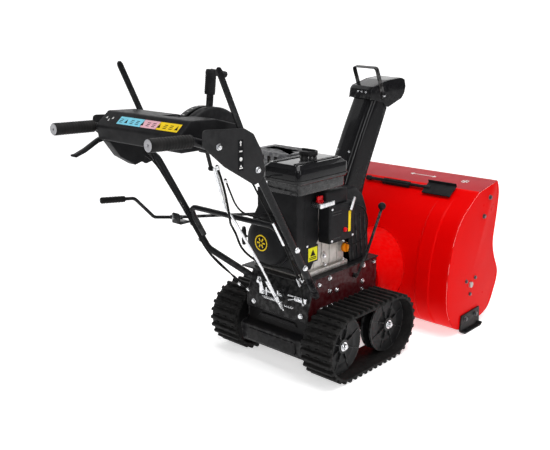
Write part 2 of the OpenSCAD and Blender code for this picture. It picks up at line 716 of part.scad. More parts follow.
// hood outlines and the flat carrying bracket in the chute's own (y, z) plane
hood = [[-111, 512], [-116, 548], [-126, 560], [-200, 584], [-268, 592], [-286, 584],
  [-292, 556], [-287, 530], [-272, 508], [-205, 476], [-186, 478], [-180, 494]];
hood_in = [[-114, 400], [-114, 512], [-119, 546.5], [-127.5, 557], [-200, 581], [-268, 589],
  [-400, 589], [-400, 400]];
bracket = [[-185, 517], [-143, 640], [-126, 634], [-168, 511]];
bracket_in = [[-163.2, 642.7], [-108.4, 623.7], [-163.3, 462.9], [-218.1, 481.9]];

module deflector() color("#131315") chute_frame() {
  w = chute_w / 2 + 5;
  difference() {
    union() {
      difference() {
        along_x(-w - 2.5, w + 2.5) polygon(hood);
        along_x(-w, w) polygon(hood_in);
      }
      difference() {
        along_x(-w - 6.5, w + 6.5) polygon(bracket);
        along_x(-w - 2.4, w + 2.4) polygon(bracket_in);
      }
    }
    bar_x(5.05, -100, 100, deflector_pivot[1], deflector_pivot[2]);
  }
}

// slope of the housing's upper rear face, where the clean-out tool rides
module slope() translate([0, -660, 569.2]) rotate([-32.3, 0, 0]) children();

module cleanout_tool() color("#121213") slope() {
  bar_x(7, -130, 168, 0, 16);
  translate([-262, -34, 13]) cube([134, 68, 5]);
  translate([-262, -34, 13]) cube([134, 4, 16]);
  bar_x(11, 150, 176, 0, 16);
}

module tool_clips() color("#19191b") slope() difference() {
  translate([-51, -12, 0.1]) cube([138, 24, 20]);
  translate([-52, -7.4, 3]) cube([140, 14.8, 30]);
}

housing_shell();
housing_cheeks();
impeller_drum();
scraper_bar();
skid_shoes();
housing_bolts();
chute_collar();
gearbox();
auger_shaft();
auger_left();
auger_right();
impeller();
chassis_tub();
engine_deck();
zinc_bolts();
track_frames();
track_belt_left();
track_belt_right();
drive_wheel_left();
drive_wheel_right();
idler_wheel_left();
idler_wheel_right();
crankcase();
cylinder_block();
fan_shroud();
recoil_cover();
recoil_handle();
fuel_tank();
fuel_cap();
muffler();
muffler_guard();
control_box();
ignition_key();
primer_button();
choke_lever();
oil_cap();
belt_cover();
drive_pulley();
drive_belt();
height_lever();
handle_tubes();
crossbar();
handle_cables();
engine_cables();
dash_panel();
dash_belly();
gear_quadrant();
shift_lever();
shift_rod();
side_plates();
hand_grips();
clutch_lever_left();
clutch_lever_right();
steer_trigger();
crank_handle();
crank_shaft();
chute();
deflector();
cleanout_tool();
tool_clips();
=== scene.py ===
"""Looks of a tracked two stage snowblower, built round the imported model. Numbers are millimetres."""

import json
import random
from math import acos, asin, cos, hypot, pi, radians, sin

import bmesh
import bpy
from mathutils import Matrix, Vector

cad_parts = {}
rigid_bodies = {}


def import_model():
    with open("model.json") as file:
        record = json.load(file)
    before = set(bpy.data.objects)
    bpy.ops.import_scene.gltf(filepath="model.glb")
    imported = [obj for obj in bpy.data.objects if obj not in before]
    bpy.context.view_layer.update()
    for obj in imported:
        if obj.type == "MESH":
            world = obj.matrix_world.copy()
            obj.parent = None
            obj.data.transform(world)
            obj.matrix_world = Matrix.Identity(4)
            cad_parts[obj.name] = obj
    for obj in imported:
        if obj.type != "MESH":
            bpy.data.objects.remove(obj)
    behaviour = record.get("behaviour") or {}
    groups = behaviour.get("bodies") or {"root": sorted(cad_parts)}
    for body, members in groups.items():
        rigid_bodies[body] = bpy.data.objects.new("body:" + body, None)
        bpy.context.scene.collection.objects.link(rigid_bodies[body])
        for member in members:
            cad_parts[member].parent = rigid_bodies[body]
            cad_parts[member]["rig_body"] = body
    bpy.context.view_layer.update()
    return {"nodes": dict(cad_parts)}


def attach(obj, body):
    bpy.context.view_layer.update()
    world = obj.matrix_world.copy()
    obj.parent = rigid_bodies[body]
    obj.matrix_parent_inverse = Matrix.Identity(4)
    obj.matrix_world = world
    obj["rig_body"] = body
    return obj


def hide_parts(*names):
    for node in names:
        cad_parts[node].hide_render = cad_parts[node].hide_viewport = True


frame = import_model()
NODES = frame["nodes"]
BODY_OF = {n: o["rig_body"] for n, o in NODES.items()}
scene = bpy.context.scene
rnd = random.Random(7)
V = Vector


# ---- materials ---------------------------------------------------------------------------
def material(name, colour, tint=None, rough=0.4, span=0.1, metal=0.0, coat=0.0, patch=9.0,
             grain=700.0, bump=0.1, depth=0.0003, edge_wear_and_highlight=None, edge_wear_and_highlight_amount=0.5, dust=0.0,
             streak=None, spec=0.08, coat_rough=0.04):
    m = bpy.data.materials.new(name)
    m.use_nodes = True
    n, link = m.node_tree.nodes, m.node_tree.links.new
    b = n["Principled BSDF"]
    b.inputs["Metallic"].default_value = metal
    b.inputs["Coat Weight"].default_value = coat
    b.inputs["Coat Roughness"].default_value = coat_rough
    b.inputs["Specular IOR Level"].default_value = spec
    co = n.new("ShaderNodeTexCoord").outputs["Object"]

    def noise(scale, detail=4.0, vec=None, rough_=0.6):
        x = n.new("ShaderNodeTexNoise")
        x.inputs["Scale"].default_value = scale
        x.inputs["Detail"].default_value = detail
        x.inputs["Roughness"].default_value = rough_
        link(vec or co, x.inputs["Vector"])
        return x.outputs["Fac"]

    def remap(v, a, b_, lo, hi):
        x = n.new("ShaderNodeMapRange")
        for i, q in enumerate((a, b_, lo, hi)):
            x.inputs[i + 1].default_value = q
        link(v, x.inputs[0])
        return x.outputs[0]

    def mix(f, a, b_):
        x = n.new("ShaderNodeMix")
        x.data_type = "RGBA"
        link(f, x.inputs["Factor"])
        for q, s in ((a, x.inputs["A"]), (b_, x.inputs["B"])):
            if isinstance(q, (tuple, list)):
                s.default_value = (*q, 1)
            else:
                link(q, s)
        return x.outputs["Result"]

    tint = tint or tuple(c * 0.72 for c in colour)
    big = noise(patch)
    col = mix(remap(big, 0.35, 0.65, 0, 1), tint, colour)
    r = remap(noise(patch * 3), 0.3, 0.7, rough - span / 2, rough + span / 2)
    if streak:
        mp = n.new("ShaderNodeMapping")
        mp.inputs["Scale"].default_value = streak
        link(co, mp.inputs["Vector"])
        s = noise(1.0, 3.0, mp.outputs["Vector"])
        col = mix(remap(s, 0.4, 0.75, 0, 0.6), col, tuple(min(1, c * 1.5 + 0.01) for c in colour))
    if dust:
        geo = n.new("ShaderNodeNewGeometry").outputs["Normal"]
        sep = n.new("ShaderNodeSeparateXYZ")
        link(geo, sep.inputs[0])
        up = remap(sep.outputs["Z"], 0.1, 1.0, 0, dust)
        mul = n.new("ShaderNodeMath")
        mul.operation = "MULTIPLY"
        link(up, mul.inputs[0])
        link(remap(noise(40.0), 0.35, 0.7, 0.2, 1), mul.inputs[1])
        col = mix(mul.outputs[0], col, (0.35, 0.34, 0.32))
    # convex edges mixed toward a lighter colour: partly edge wear, partly a painted highlight along
    # the edges
    if edge_wear_and_highlight:
        edge = n.new("ShaderNodeNewGeometry").outputs["Pointiness"]
        mul = n.new("ShaderNodeMath")
        mul.operation = "MULTIPLY"
        link(remap(edge, 0.53, 0.62, 0, edge_wear_and_highlight_amount), mul.inputs[0])
        link(remap(noise(60.0), 0.42, 0.6, 0, 1), mul.inputs[1])
        col = mix(mul.outputs[0], col, edge_wear_and_highlight)
    link(col, b.inputs["Base Color"])
    link(r, b.inputs["Roughness"])
    bp = n.new("ShaderNodeBump")
    bp.inputs["Strength"].default_value = bump
    bp.inputs["Distance"].default_value = depth
    link(noise(grain, 3.0), bp.inputs["Height"])
    link(bp.outputs[0], b.inputs["Normal"])
    return m


M = {
    "red_paint": material("red_paint", (0.76, 0.001, 0.001), (0.72, 0.001, 0.001), rough=0.3,
                          span=0.06, patch=4, grain=260, bump=0.05, spec=0.03,
                          edge_wear_and_highlight=(0.8, 0.06, 0.05), edge_wear_and_highlight_amount=0.15),
    # darker copy of the red paint for the top panel: painted shade, the top being the same red paint
    # shown as if lit less
    "top_red_painted_shade": material("top_red_painted_shade", (0.42, 0.001, 0.010), (0.36, 0.001, 0.009), rough=0.34,
                        span=0.08, coat=0.05, patch=4, grain=260, bump=0.05,
                        edge_wear_and_highlight=(0.6, 0.06, 0.06), edge_wear_and_highlight_amount=0.15),
    "dark_red_steel": material("dark_red_steel", (0.055, 0.002, 0.004), rough=0.35, coat=0.2,
                               edge_wear_and_highlight=(0.3, 0.3, 0.3), edge_wear_and_highlight_amount=0.3, dust=0.02),
    "black_steel": material("black_steel", (0.008, 0.008, 0.009), (0.014, 0.013, 0.013),
                            rough=0.34, span=0.14, coat=0.04, patch=14, grain=420, bump=0.06,
                            edge_wear_and_highlight=(0.22, 0.22, 0.22), edge_wear_and_highlight_amount=0.5),
    "black_tube": material("black_tube", (0.007, 0.007, 0.008), (0.011, 0.011, 0.012),
                           rough=0.3, span=0.12, coat=0.16, patch=18, grain=500, bump=0.05,
                           edge_wear_and_highlight=(0.2, 0.2, 0.2), edge_wear_and_highlight_amount=0.4),
    "gloss_black": material("gloss_black", (0.006, 0.006, 0.007), (0.009, 0.009, 0.01),
                            rough=0.2, span=0.08, coat=0.3, patch=7, grain=300, bump=0.04,
                            edge_wear_and_highlight=(0.16, 0.16, 0.16), edge_wear_and_highlight_amount=0.4),
    "tank_plastic": material("tank_plastic", (0.006, 0.006, 0.007), (0.009, 0.009, 0.01),
                             rough=0.2, span=0.08, coat=0.5, patch=7, grain=300, bump=0.04,
                             edge_wear_and_highlight=(0.16, 0.16, 0.16), edge_wear_and_highlight_amount=0.4),
    "black_plastic": material("black_plastic", (0.010, 0.010, 0.011), (0.016, 0.016, 0.017),
                              rough=0.42, span=0.14, patch=22, grain=1500, bump=0.25,
                              depth=0.0002, edge_wear_and_highlight=(0.10, 0.10, 0.10)),
    "grip_rubber": material("grip_rubber", (0.010, 0.010, 0.010), (0.017, 0.016, 0.016),
                            rough=0.5, span=0.15, patch=30, grain=1800, bump=0.35,
                            depth=0.0002, dust=0.02),
    "track_rubber": material("track_rubber", (0.008, 0.008, 0.008), (0.013, 0.012, 0.012),
                             rough=0.55, span=0.2, patch=24, grain=900, bump=0.4,
                             depth=0.0004, dust=0.012, edge_wear_and_highlight=(0.05, 0.05, 0.048)),
    "belt_rubber": material("belt_rubber", (0.012, 0.012, 0.012), rough=0.6, grain=1200,
                            bump=0.3, streak=(4, 300, 4)),
    "cable_black": material("cable_black", (0.006, 0.006, 0.006), rough=0.36, grain=1500,
                            bump=0.1),
    "wheel_black": material("wheel_black", (0.010, 0.010, 0.011), (0.018, 0.018, 0.018),
                            rough=0.36, coat=0.08, patch=20, grain=900, bump=0.12,
                            edge_wear_and_highlight=(0.15, 0.15, 0.15)),
    "plate_grey": material("plate_grey", (0.022, 0.022, 0.023), (0.018, 0.018, 0.019),
                           rough=0.5, span=0.12, patch=12, grain=1200, bump=0.18,
                           edge_wear_and_highlight=(0.2, 0.2, 0.2)),
    "grey_steel": material("grey_steel", (0.13, 0.13, 0.14), (0.09, 0.09, 0.095), rough=0.45,
                           metal=0.4, grain=600, bump=0.12, edge_wear_and_highlight=(0.4, 0.4, 0.4)),
    "zinc": material("zinc", (0.78, 0.79, 0.80), (0.58, 0.59, 0.62), rough=0.24, span=0.14,
                     metal=1, patch=60, grain=900, bump=0.08, streak=(300, 300, 20)),
    "bare_steel": material("bare_steel", (0.46, 0.45, 0.44), (0.30, 0.28, 0.26), rough=0.38,
                           span=0.2, metal=1, patch=30, grain=600, bump=0.15,
                           streak=(20, 400, 400)),
    "cast_alloy": material("cast_alloy", (0.62, 0.59, 0.56), (0.48, 0.45, 0.42), rough=0.46,
                           span=0.16, metal=0.75, patch=16, grain=420, bump=0.35,
                           depth=0.0006, edge_wear_and_highlight=(0.85, 0.83, 0.8)),
    "cast_metal": material("cast_metal", (0.16, 0.16, 0.165), (0.11, 0.10, 0.10), rough=0.5,
                           metal=0.8, patch=18, grain=380, bump=0.4, depth=0.0006,
                           edge_wear_and_highlight=(0.45, 0.44, 0.42)),
    "dark_bolts": material("dark_bolts", (0.12, 0.12, 0.13), rough=0.36, metal=0.9,
                           patch=50, grain=900, edge_wear_and_highlight=(0.5, 0.5, 0.5)),
    "red_plastic": material("red_plastic", (0.75, 0.006, 0.012), rough=0.3, coat=0.3,
                            patch=40, grain=1300, bump=0.1),
    "orange_plastic": material("orange_plastic", (0.83, 0.27, 0.006), (0.7, 0.2, 0.005),
                               rough=0.38, patch=40, grain=1300, bump=0.12),
}
DECAL = {k: material("print_" + k, c, tuple(x * 0.88 for x in c), rough=0.42, span=0.06,
                     patch=60, grain=2500, bump=0.03)
         for k, c in {"white": (0.80, 0.80, 0.79), "cyan": (0.22, 0.64, 0.80),
                      "pink": (0.80, 0.45, 0.52), "yellow": (0.88, 0.62, 0.02),
                      "lime": (0.83, 0.78, 0.02), "black": (0.006, 0.006, 0.007),
                      "alloy": (0.50, 0.50, 0.52), "crimson": (0.55, 0.01, 0.02)}.items()}


# ---- mesh helpers ------------------------------------------------------------------------
def unit(v):
    return V(v).normalized()


def curve(p, n=6, closed=False):
    """Smooth curve through the points."""
    p = [V(q) for q in p]
    m = len(p)
    out = []
    for i in range(m if closed else m - 1):
        if closed:
            a, b, c, d = (p[(i + k) % m] for k in (-1, 0, 1, 2))
        else:
            a, b, c, d = p[max(i - 1, 0)], p[i], p[i + 1], p[min(i + 2, m - 1)]
        for k in range(n):
            t = k / n
            out.append(0.5 * (2 * b + (c - a) * t + (2 * a - 5 * b + 4 * c - d) * t * t
                              + (3 * b - a - 3 * c + d) * t ** 3))
    return out if closed else out + [p[-1]]


def fillet(p, r, n=6):
    """Corners of a path rounded to radius r."""
    p = [V(q) for q in p]
    out = [p[0]]
    for i in range(1, len(p) - 1):
        a, b = unit(p[i - 1] - p[i]), unit(p[i + 1] - p[i])
        half = acos(max(-1, min(1, a.dot(b)))) / 2
        if abs(half - pi / 2) < 0.01:
            out.append(p[i])
            continue
        cut = min(r / math_tan(half), 0.48 * (p[i - 1] - p[i]).length,
                  0.48 * (p[i + 1] - p[i]).length)
        s, e = p[i] + a * cut, p[i] + b * cut
        for k in range(n + 1):
            t = k / n
            out.append((1 - t) ** 2 * s + 2 * t * (1 - t) * p[i] + t * t * e)
    return out + [p[-1]]


def math_tan(a):
    return sin(a) / max(cos(a), 1e-9)


def arc2(cx, cy, r, a0, a1, n):
    return [(cx + r * cos(radians(a0 + (a1 - a0) * i / n)),
             cy + r * sin(radians(a0 + (a1 - a0) * i / n))) for i in range(n + 1)]


def basis(d, up=(0, 0, 1)):
    """Rotation that takes +Z to direction d."""
    z = unit(d)
    x = V(up).cross(z)
    if x.length < 1e-6:
        x = V((1, 0, 0)).cross(z)
    if x.length < 1e-6:
        x = V((0, 1, 0)).cross(z)
    x.normalize()
    return Matrix((x, z.cross(x), z)).transposed().to_4x4()


class Part:
    """One shown piece: a mesh that rides on a body, in one or more materials."""

    def __init__(s, name, body, mats, slot=None, angle=38, replaces=()):
        s.name, s.body, s.slot, s.angle = name, body, slot, angle
        s.mats = [M[m] if m in M else DECAL[m[6:]] for m in
                  ([mats] if isinstance(mats, str) else mats)]
        if slot is None:
            s.slot = mats if isinstance(mats, str) else mats[0]
        s.hides = [replaces] if isinstance(replaces, str) else list(replaces)
        s.bm = bmesh.new()

    def add(s, verts, faces, mi=0, at=None, bevel=0.0, seg=2, edge_angle=30):
        bm = s.bm if not bevel else bmesh.new()
        vs = [bm.verts.new(at @ V(v) if at else V(v)) for v in verts]
        for f in faces:
            try:
                bm.faces.new([vs[i] for i in f]).material_index = mi
            except ValueError:
                pass
        if bevel:
            bmesh.ops.recalc_face_normals(bm, faces=bm.faces)
            s.round(bm, bevel, seg, edge_angle)
            s.take(bm, mi)
        return s

    @staticmethod
    def round(bm, width, seg, edge_angle):
        edges = [e for e in bm.edges if len(e.link_faces) == 2
                 and e.calc_face_angle(0) > radians(edge_angle)]
        if edges:
            bmesh.ops.bevel(bm, geom=edges, offset=width, segments=seg, profile=0.6,
                            affect="EDGES", clamp_overlap=True, miter_outer="ARC")

    def take(s, bm, mi=None):
        """Moves another bmesh's faces into this part."""
        new = {v: s.bm.verts.new(v.co) for v in bm.verts}
        for f in bm.faces:
            try:
                g = s.bm.faces.new([new[v] for v in f.verts])
                g.material_index = f.material_index if mi is None else mi
            except ValueError:
                pass
        bm.free()
        return s

    def node(s, name, bevel=1.0, seg=2, mi=0, edge_angle=30, flat=2.0):
        """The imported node's own shape, with its hard edges rounded."""
        bm = bmesh.new()
        bm.from_mesh(NODES[name].data)
        bmesh.ops.scale(bm, vec=(1000,) * 3, verts=bm.verts)
        bmesh.ops.remove_doubles(bm, verts=bm.verts, dist=0.003)
        bmesh.ops.dissolve_limit(bm, angle_limit=radians(flat), verts=bm.verts, edges=bm.edges)
        if bevel:
            s.round(bm, bevel, seg, edge_angle)
        s.take(bm, mi)
        s.hides.append(name)
        return s

    def box(s, a, b, bevel=1.0, seg=2, mi=0, at=None, taper=1.0):
        (x0, y0, z0), (x1, y1, z1) = a, b
        cx, cy = (x0 + x1) / 2, (y0 + y1) / 2
        v = [(x, y, z0) for x, y in ((x0, y0), (x1, y0), (x1, y1), (x0, y1))]
        v += [(cx + (x - cx) * taper, cy + (y - cy) * taper, z1) for x, y, _ in v]
        f = [(3, 2, 1, 0), (4, 5, 6, 7), (0, 1, 5, 4), (1, 2, 6, 5), (2, 3, 7, 6), (3, 0, 4, 7)]
        return s.add(v, f, mi, at, bevel, seg)

    def prism(s, outline, lo, hi, axis="x", bevel=1.0, seg=2, mi=0, at=None, edge_angle=30):
        """Outline drawn out along an axis; its two numbers are the other two axes in order."""
        put = {"x": lambda p, h: (h, p[0], p[1]), "y": lambda p, h: (p[0], h, p[1]),
               "z": lambda p, h: (p[0], p[1], h)}[axis]
        m = len(outline)
        v = [put(p, lo) for p in outline] + [put(p, hi) for p in outline]
        f = [tuple(range(m))[::-1], tuple(range(m, 2 * m))]
        f += [(i, (i + 1) % m, m + (i + 1) % m, m + i) for i in range(m)]
        return s.add(v, f, mi, at, bevel, seg, edge_angle)

    def tube(s, path, r, sides=16, mi=0, cap=True, closed=False, flat=1.0, up=None, at=None):
        """Round bar along a path. r is a number or one per point; flat squashes it."""
        p = [V(q) for q in path]
        m = len(p)
        rs = r if isinstance(r, (list, tuple)) else [r] * m
        t0 = unit(p[1] - p[0])
        u = V(up or ((0, 0, 1) if abs(t0.z) < 0.9 else (1, 0, 0)))
        u = (u - t0 * u.dot(t0)).normalized()
        verts = []
        for i in range(m):
            t = unit(p[(i + 1) % m if closed else min(i + 1, m - 1)]
                     - p[i - 1 if closed or i else 0])
            u = (u - t * u.dot(t)).normalized()
            w = t.cross(u)
            verts += [p[i] + rs[i] * (cos(2 * pi * k / sides) * u
                                      + flat * sin(2 * pi * k / sides) * w)
                      for k in range(sides)]
        faces = [(i * sides + k, i * sides + (k + 1) % sides,
                  (i + 1) % m * sides + (k + 1) % sides, (i + 1) % m * sides + k)
                 for i in range(m if closed else m - 1) for k in range(sides)]
        if cap and not closed:
            faces += [tuple(range(sides))[::-1], tuple((m - 1) * sides + k for k in range(sides))]
        return s.add(verts, faces, mi, at)

    def lathe(s, profile, centre, axis, mi=0, n=48, at=None):
        """Profile of (radius, height) turned round an axis through centre."""
        rot = Matrix.Translation(V(centre)) @ basis(axis)
        if at:
            rot = at @ rot
        verts, rings = [], []
        for r, h in profile:
            if r < 1e-6:
                rings.append([len(verts)])
                verts.append(rot @ V((0, 0, h)))
            else:
                rings.append(list(range(len(verts), len(verts) + n)))
                verts += [rot @ V((r * cos(2 * pi * k / n), r * sin(2 * pi * k / n), h))
                          for k in range(n)]
        faces = []
        for a, b in zip(rings, rings[1:]):
            for k in range(n):
                j = (k + 1) % n
                q = [a[k % len(a)], a[j % len(a)], b[j % len(b)], b[k % len(b)]]
                q = list(dict.fromkeys(q))
                if len(q) > 2:
                    faces.append(tuple(q))
        return s.add(verts, faces, mi)

    def rod(s, a, b, r, sides=20, mi=0, ease=0.8):
        """Straight bar with eased ends."""
        d = V(b) - V(a)
        h = d.length
        e = min(ease, r * 0.6, h * 0.3)
        return s.lathe([(0, 0), (r - e, 0), (r, e), (r, h - e), (r - e, h), (0, h)], a, d, mi,
                       sides)

    def bolt(s, at, d, size=10, mi=0, stub=True, washer=True):
        """Hexagon head, washer and a thread end, standing on the surface at a point."""
        rot = Matrix.Translation(V(at)) @ basis(d) @ Matrix.Rotation(rnd.random(), 4, "Z")
        if washer:
            s.lathe([(0, 0), (size * 1.05, 0), (size * 1.08, 0.5), (size * 1.05, 1.4),
                     (0, 1.4)], (0, 0, 0), (0, 0, 1), mi, 24, rot)
        hexa = [(size * 0.92 * cos(k * pi / 3), size * 0.92 * sin(k * pi / 3)) for k in range(6)]
        s.prism(hexa, 1.3, 1.3 + size * 0.62, "z", size * 0.07, 2, mi, rot)
        if stub:
            s.lathe([(0, 0), (size * 0.5, 0), (size * 0.5, size * 0.8), (size * 0.42, size * 0.9),
                     (0, size * 0.92)], (0, 0, 0), (0, 0, 1), mi, 16, rot)
        return s

    def sheet(s, rows, thick, mi=0, closed=False):
        """Grid of points made into sheet metal of even thickness, rows by columns."""
        n = len(rows[0])
        bm = bmesh.new()
        vs = [[bm.verts.new(V(q)) for q in row] for row in rows]
        m = n if closed else n - 1
        for i in range(len(rows) - 1):
            for k in range(m):
                j = (k + 1) % n
                bm.faces.new((vs[i][k], vs[i][j], vs[i + 1][j], vs[i + 1][k]))
        bm.normal_update()
        bmesh.ops.solidify(bm, geom=bm.faces[:], thickness=thick)
        return s.take(bm, mi)

    def done(s):
        bmesh.ops.recalc_face_normals(s.bm, faces=s.bm.faces)
        bmesh.ops.scale(s.bm, vec=(0.001,) * 3, verts=s.bm.verts)
        mesh = bpy.data.meshes.new(s.name)
        s.bm.to_mesh(mesh)
        s.bm.free()
        for m in s.mats:
            mesh.materials.append(m)
        mesh.polygons.foreach_set("use_smooth", [True] * len(mesh.polygons))
        mesh.set_sharp_from_angle(angle=radians(s.angle))
        o = bpy.data.objects.new(s.name, mesh)
        scene.collection.objects.link(o)
        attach(o, s.body)
        if s.hides:
            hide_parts(*s.hides)
        return o


def skin(node, mat, bevel=1.0, seg=2, angle=38, **k):
    """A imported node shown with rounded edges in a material."""
    return Part(node + "_skin", BODY_OF[node], mat, angle=angle).node(node, bevel, seg, **k)


def strap(s, path, wide, w, t, mi=0, bevel=0.5, closed=False, at=None):
    """Flat bar of width w along wide and thickness t, swept along a path."""
    p = [V(q) for q in path]
    m = len(p)
    a = unit(wide)
    verts = []
    for i in range(m):
        d = unit(p[(i + 1) % m if closed else min(i + 1, m - 1)] - p[i - 1 if closed or i else 0])
        b = a.cross(d).normalized()
        e = bevel
        for u, v in ((-1, -1), (1, -1), (1, 1), (-1, 1)):
            verts += [p[i] + a * (u * (w / 2 - (e if k == (u == v) else 0)))
                      + b * (v * (t / 2 - (0 if k == (u == v) else e))) for k in (0, 1)]
    n = 8
    faces = [(i * n + k, i * n + (k + 1) % n, (i + 1) % m * n + (k + 1) % n, (i + 1) % m * n + k)
             for i in range(m if closed else m - 1) for k in range(n)]
    if not closed:
        faces += [tuple(range(n))[::-1], tuple((m - 1) * n + k for k in range(n))]
    return s.add(verts, faces, mi, at)


def cut(s, other, op="DIFFERENCE"):
    """Takes another part's volume out of this one."""
    made = []
    for q in (s, other):
        bmesh.ops.recalc_face_normals(q.bm, faces=q.bm.faces)
        me = bpy.data.meshes.new("scratch")
        q.bm.to_mesh(me)
        q.bm.free()
        o = bpy.data.objects.new("scratch", me)
        scene.collection.objects.link(o)
        made.append(o)
    md = made[0].modifiers.new("cut", "BOOLEAN")
    md.operation, md.solver, md.object = op, "MANIFOLD", made[1]
    bpy.context.view_layer.update()
    me = bpy.data.meshes.new_from_object(
        made[0].evaluated_get(bpy.context.evaluated_depsgraph_get()))
    s.bm = bmesh.new()
    s.bm.from_mesh(me)
    if not s.bm.faces:
        raise ValueError(s.name + ": the cut left nothing")
    for o in made:
        bpy.data.objects.remove(o)
    bpy.data.meshes.remove(me)
    return s


def scratch():
    return Part("scratch", "machine", "zinc")


# ---- auger housing -----------------------------------------------------------------------
HALF = 365
CREASE = (-685, 585)
REAR = [CREASE, (-609, 537), (-553, 492), (-510, 425), (-482, 345), (-470, 262), (-470, 182),
        (-482, 124), (-512, 72), (-556, 32), (-612, 12)]
FRONT = [(-836, 612), (-853, 561), (-846, 470), (-831, 354), (-850, 285), (-884, 225),
         (-892, 194), (-880, 145), (-830, 58), (-745, 27), (-612, 12)]


def flat2(p):
    return [(q[0], q[1], 0) for q in p]


rear = [(q.x, q.y) for q in curve(flat2(REAR), 6)]
shell_line = [(-836, 612), (-798, 606), (-760, 600), (-722, 592.5), (-692, 586.4)] + rear[0:]


def shell_y(z):
    for a, b in zip(rear, rear[1:]):
        if b[1] <= z <= a[1]:
            return a[0] + (b[0] - a[0]) * (a[1] - z) / (a[1] - b[1])
    return -612


def swage(x):
    """Height of the pressed band beside each side of the drum."""
    d = abs(x)
    up = max(0, min(1, (d - 212) / 7)) * max(0, min(1, (282 - d) / 7))
    return 3.2 * up * up * (3 - 2 * up)


xs = sorted({s * v for v in [0, 40, 80, 120, 160, 190, 207, 212, 214, 216, 218, 220, 224, 245,
                             268, 273, 275, 277, 279, 281, 283, 290, 320, 345, 362]
             for s in (1, -1)})
rows = []
for x in xs:
    row = []
    for i, (y, z) in enumerate(shell_line):
        a, b = shell_line[max(i - 1, 0)], shell_line[min(i + 1, len(shell_line) - 1)]
        t = unit((b[0] - a[0], b[1] - a[1], 0))
        h = swage(x) * max(0, min(1, (560 - z) / 60)) * max(0, min(1, (z - 20) / 40))
        row.append((x, y - t.y * h, z + t.x * h))
    rows.append(row)
hollow = scratch().rod((0, -620, 255), (0, -380, 255), 157.5, 96)
shell = Part("housing_shell_sheet", "machine", ["red_paint", "top_red_painted_shade"], angle=30,
             replaces="housing_shell").sheet(rows, 3)
cut(shell, hollow)
# faces of the top panel ahead of the crease take the darker red: painted shade on the top panel
for f in shell.bm.faces:
    if f.calc_center_median().y < -688:
        f.material_index = 1
# the rolled front edge of the top takes the same darker red, painted shade
for y0, z0, r in ((-833, 609.5, 3), (-611, 11.5, 2.2)):
    shell.rod((-361, y0, z0), (361, y0, z0), r, 12, 1 if r == 3 else 0)
shell.done()

outline = [(q.x, q.y) for q in curve(flat2(FRONT), 6)] + rear[::-1][1:] + shell_line[:5][::-1]
for s in (1, -1):
    side = "left" if s > 0 else "right"
    p = Part("housing_cheek_" + side, "machine", "red_paint",
             replaces="housing_cheeks" if s > 0 else ())
    lo, hi = sorted((s * 362.05, s * 365))
    hole = scratch().rod((s * 340, -655, 200), (s * 380, -655, 200), 12.6, 32)
    p.prism(outline, lo, hi, "x", 1.3, 3, edge_angle=50)
    cut(p, hole)
    hem = [(s * 363.5, y + 4.2, z) for y, z in
           [(q.x, q.y) for q in curve(flat2(FRONT[:9]), 6)][2:]]
    p.tube(hem, 3.4, 10)
    p.done()

drum = Part("impeller_drum_sheet", "machine", "red_paint", replaces="impeller_drum", angle=32)
n = 96
verts, rings = [], []
for r, y in [(154.9, None), (154.9, -287), (12.6, -287), (12.6, -282), (128, -282),
             (139, -282.4), (146, -286), (155, -297), (158, -304), (158, None)]:
    for k in range(n):
        a = 2 * pi * k / n
        z = 255 + r * sin(a)
        verts.append((r * cos(a), shell_y(z) - 1.5 if y is None else y, z))
m = len(verts) // n
faces = [(i * n + k, i * n + (k + 1) % n, (i + 1) % m * n + (k + 1) % n, (i + 1) % m * n + k)
         for i in range(m) for k in range(n)]
drum.add(verts, faces)
bore = scratch().rod((112, -346, 300), (112, -346, 460), 57, 64)
cut(drum, bore)
for a in range(0, 360, 45):
    c, q = cos(radians(a + 22)), sin(radians(a + 22))
    drum.lathe([(0, 0), (8, 0), (7.5, 2.4), (4, 3.4), (0, 3.6)], (118 * c, -282.3, 255 + 118 * q),
               (0, 1, 0), n=20)
drum.tube([(161 * cos(2 * pi * k / n), shell_y(255 + 161 * sin(2 * pi * k / n)) + 1.5,
            255 + 161 * sin(2 * pi * k / n)) for k in range(n)], 3.2, 8, closed=True)
drum.done()
neck = Part("chute_neck", "machine", "red_paint", angle=32)
neck.lathe([(57, -146), (57, -2.2), (60, -2.2), (60, -146), (57, -146)], (112, -346, 446),
           (0, 0, 1), n=64)
bmesh.ops.remove_doubles(neck.bm, verts=neck.bm.verts, dist=0.01)
cut(neck, scratch().rod((0, -640, 255), (0, -270, 255), 155.5, 96))
neck.done()
skin("scraper_bar", "black_steel", 1.5).done()
skin("skid_shoes", "black_steel", 1.6, 3).done()
p = Part("housing_fixings", "machine", "dark_bolts", replaces="housing_bolts")
for s in (1, -1):
    for y, z, d in [(-775, 553, 10), (-733, 479, 10), (-618, 222, 8), (-692, 222, 8),
                    (-655, 158, 8)]:
        p.bolt((s * 365.05, y, z), (s, 0, 0), d)
    for y in (-706, -620):
        p.bolt((s * 371.6, y, 58), (s, 0, 0), 10)
p.done()
p = Part("housing_marks", "machine", "print_white", angle=20)
on_top = Matrix.Translation((0, -760, 603.4)) @ Matrix.Rotation(radians(-10.2), 4, "X")
for a in range(0, 180, 60):
    c = V((-250, -8, 0))
    d = V((cos(radians(a + 30)), sin(radians(a + 30)), 0))
    strap(p, [c - d * 17, c + d * 17], (-d.y, d.x, 0), 3, 0.4, at=on_top, bevel=0.1)
    for e in (c - d * 11, c + d * 11):
        k = (e - c).normalized()
        for w in (50, -50):
            g = Matrix.Rotation(radians(w), 3, "Z") @ k
            strap(p, [e, e + g * 7], (-g.y, g.x, 0), 2.2, 0.4, at=on_top, bevel=0.1)
strap(p, [(-95, -8, 0), (5, -8, 0)], (0, 1, 0), 4, 0.4, at=on_top, bevel=0.1)
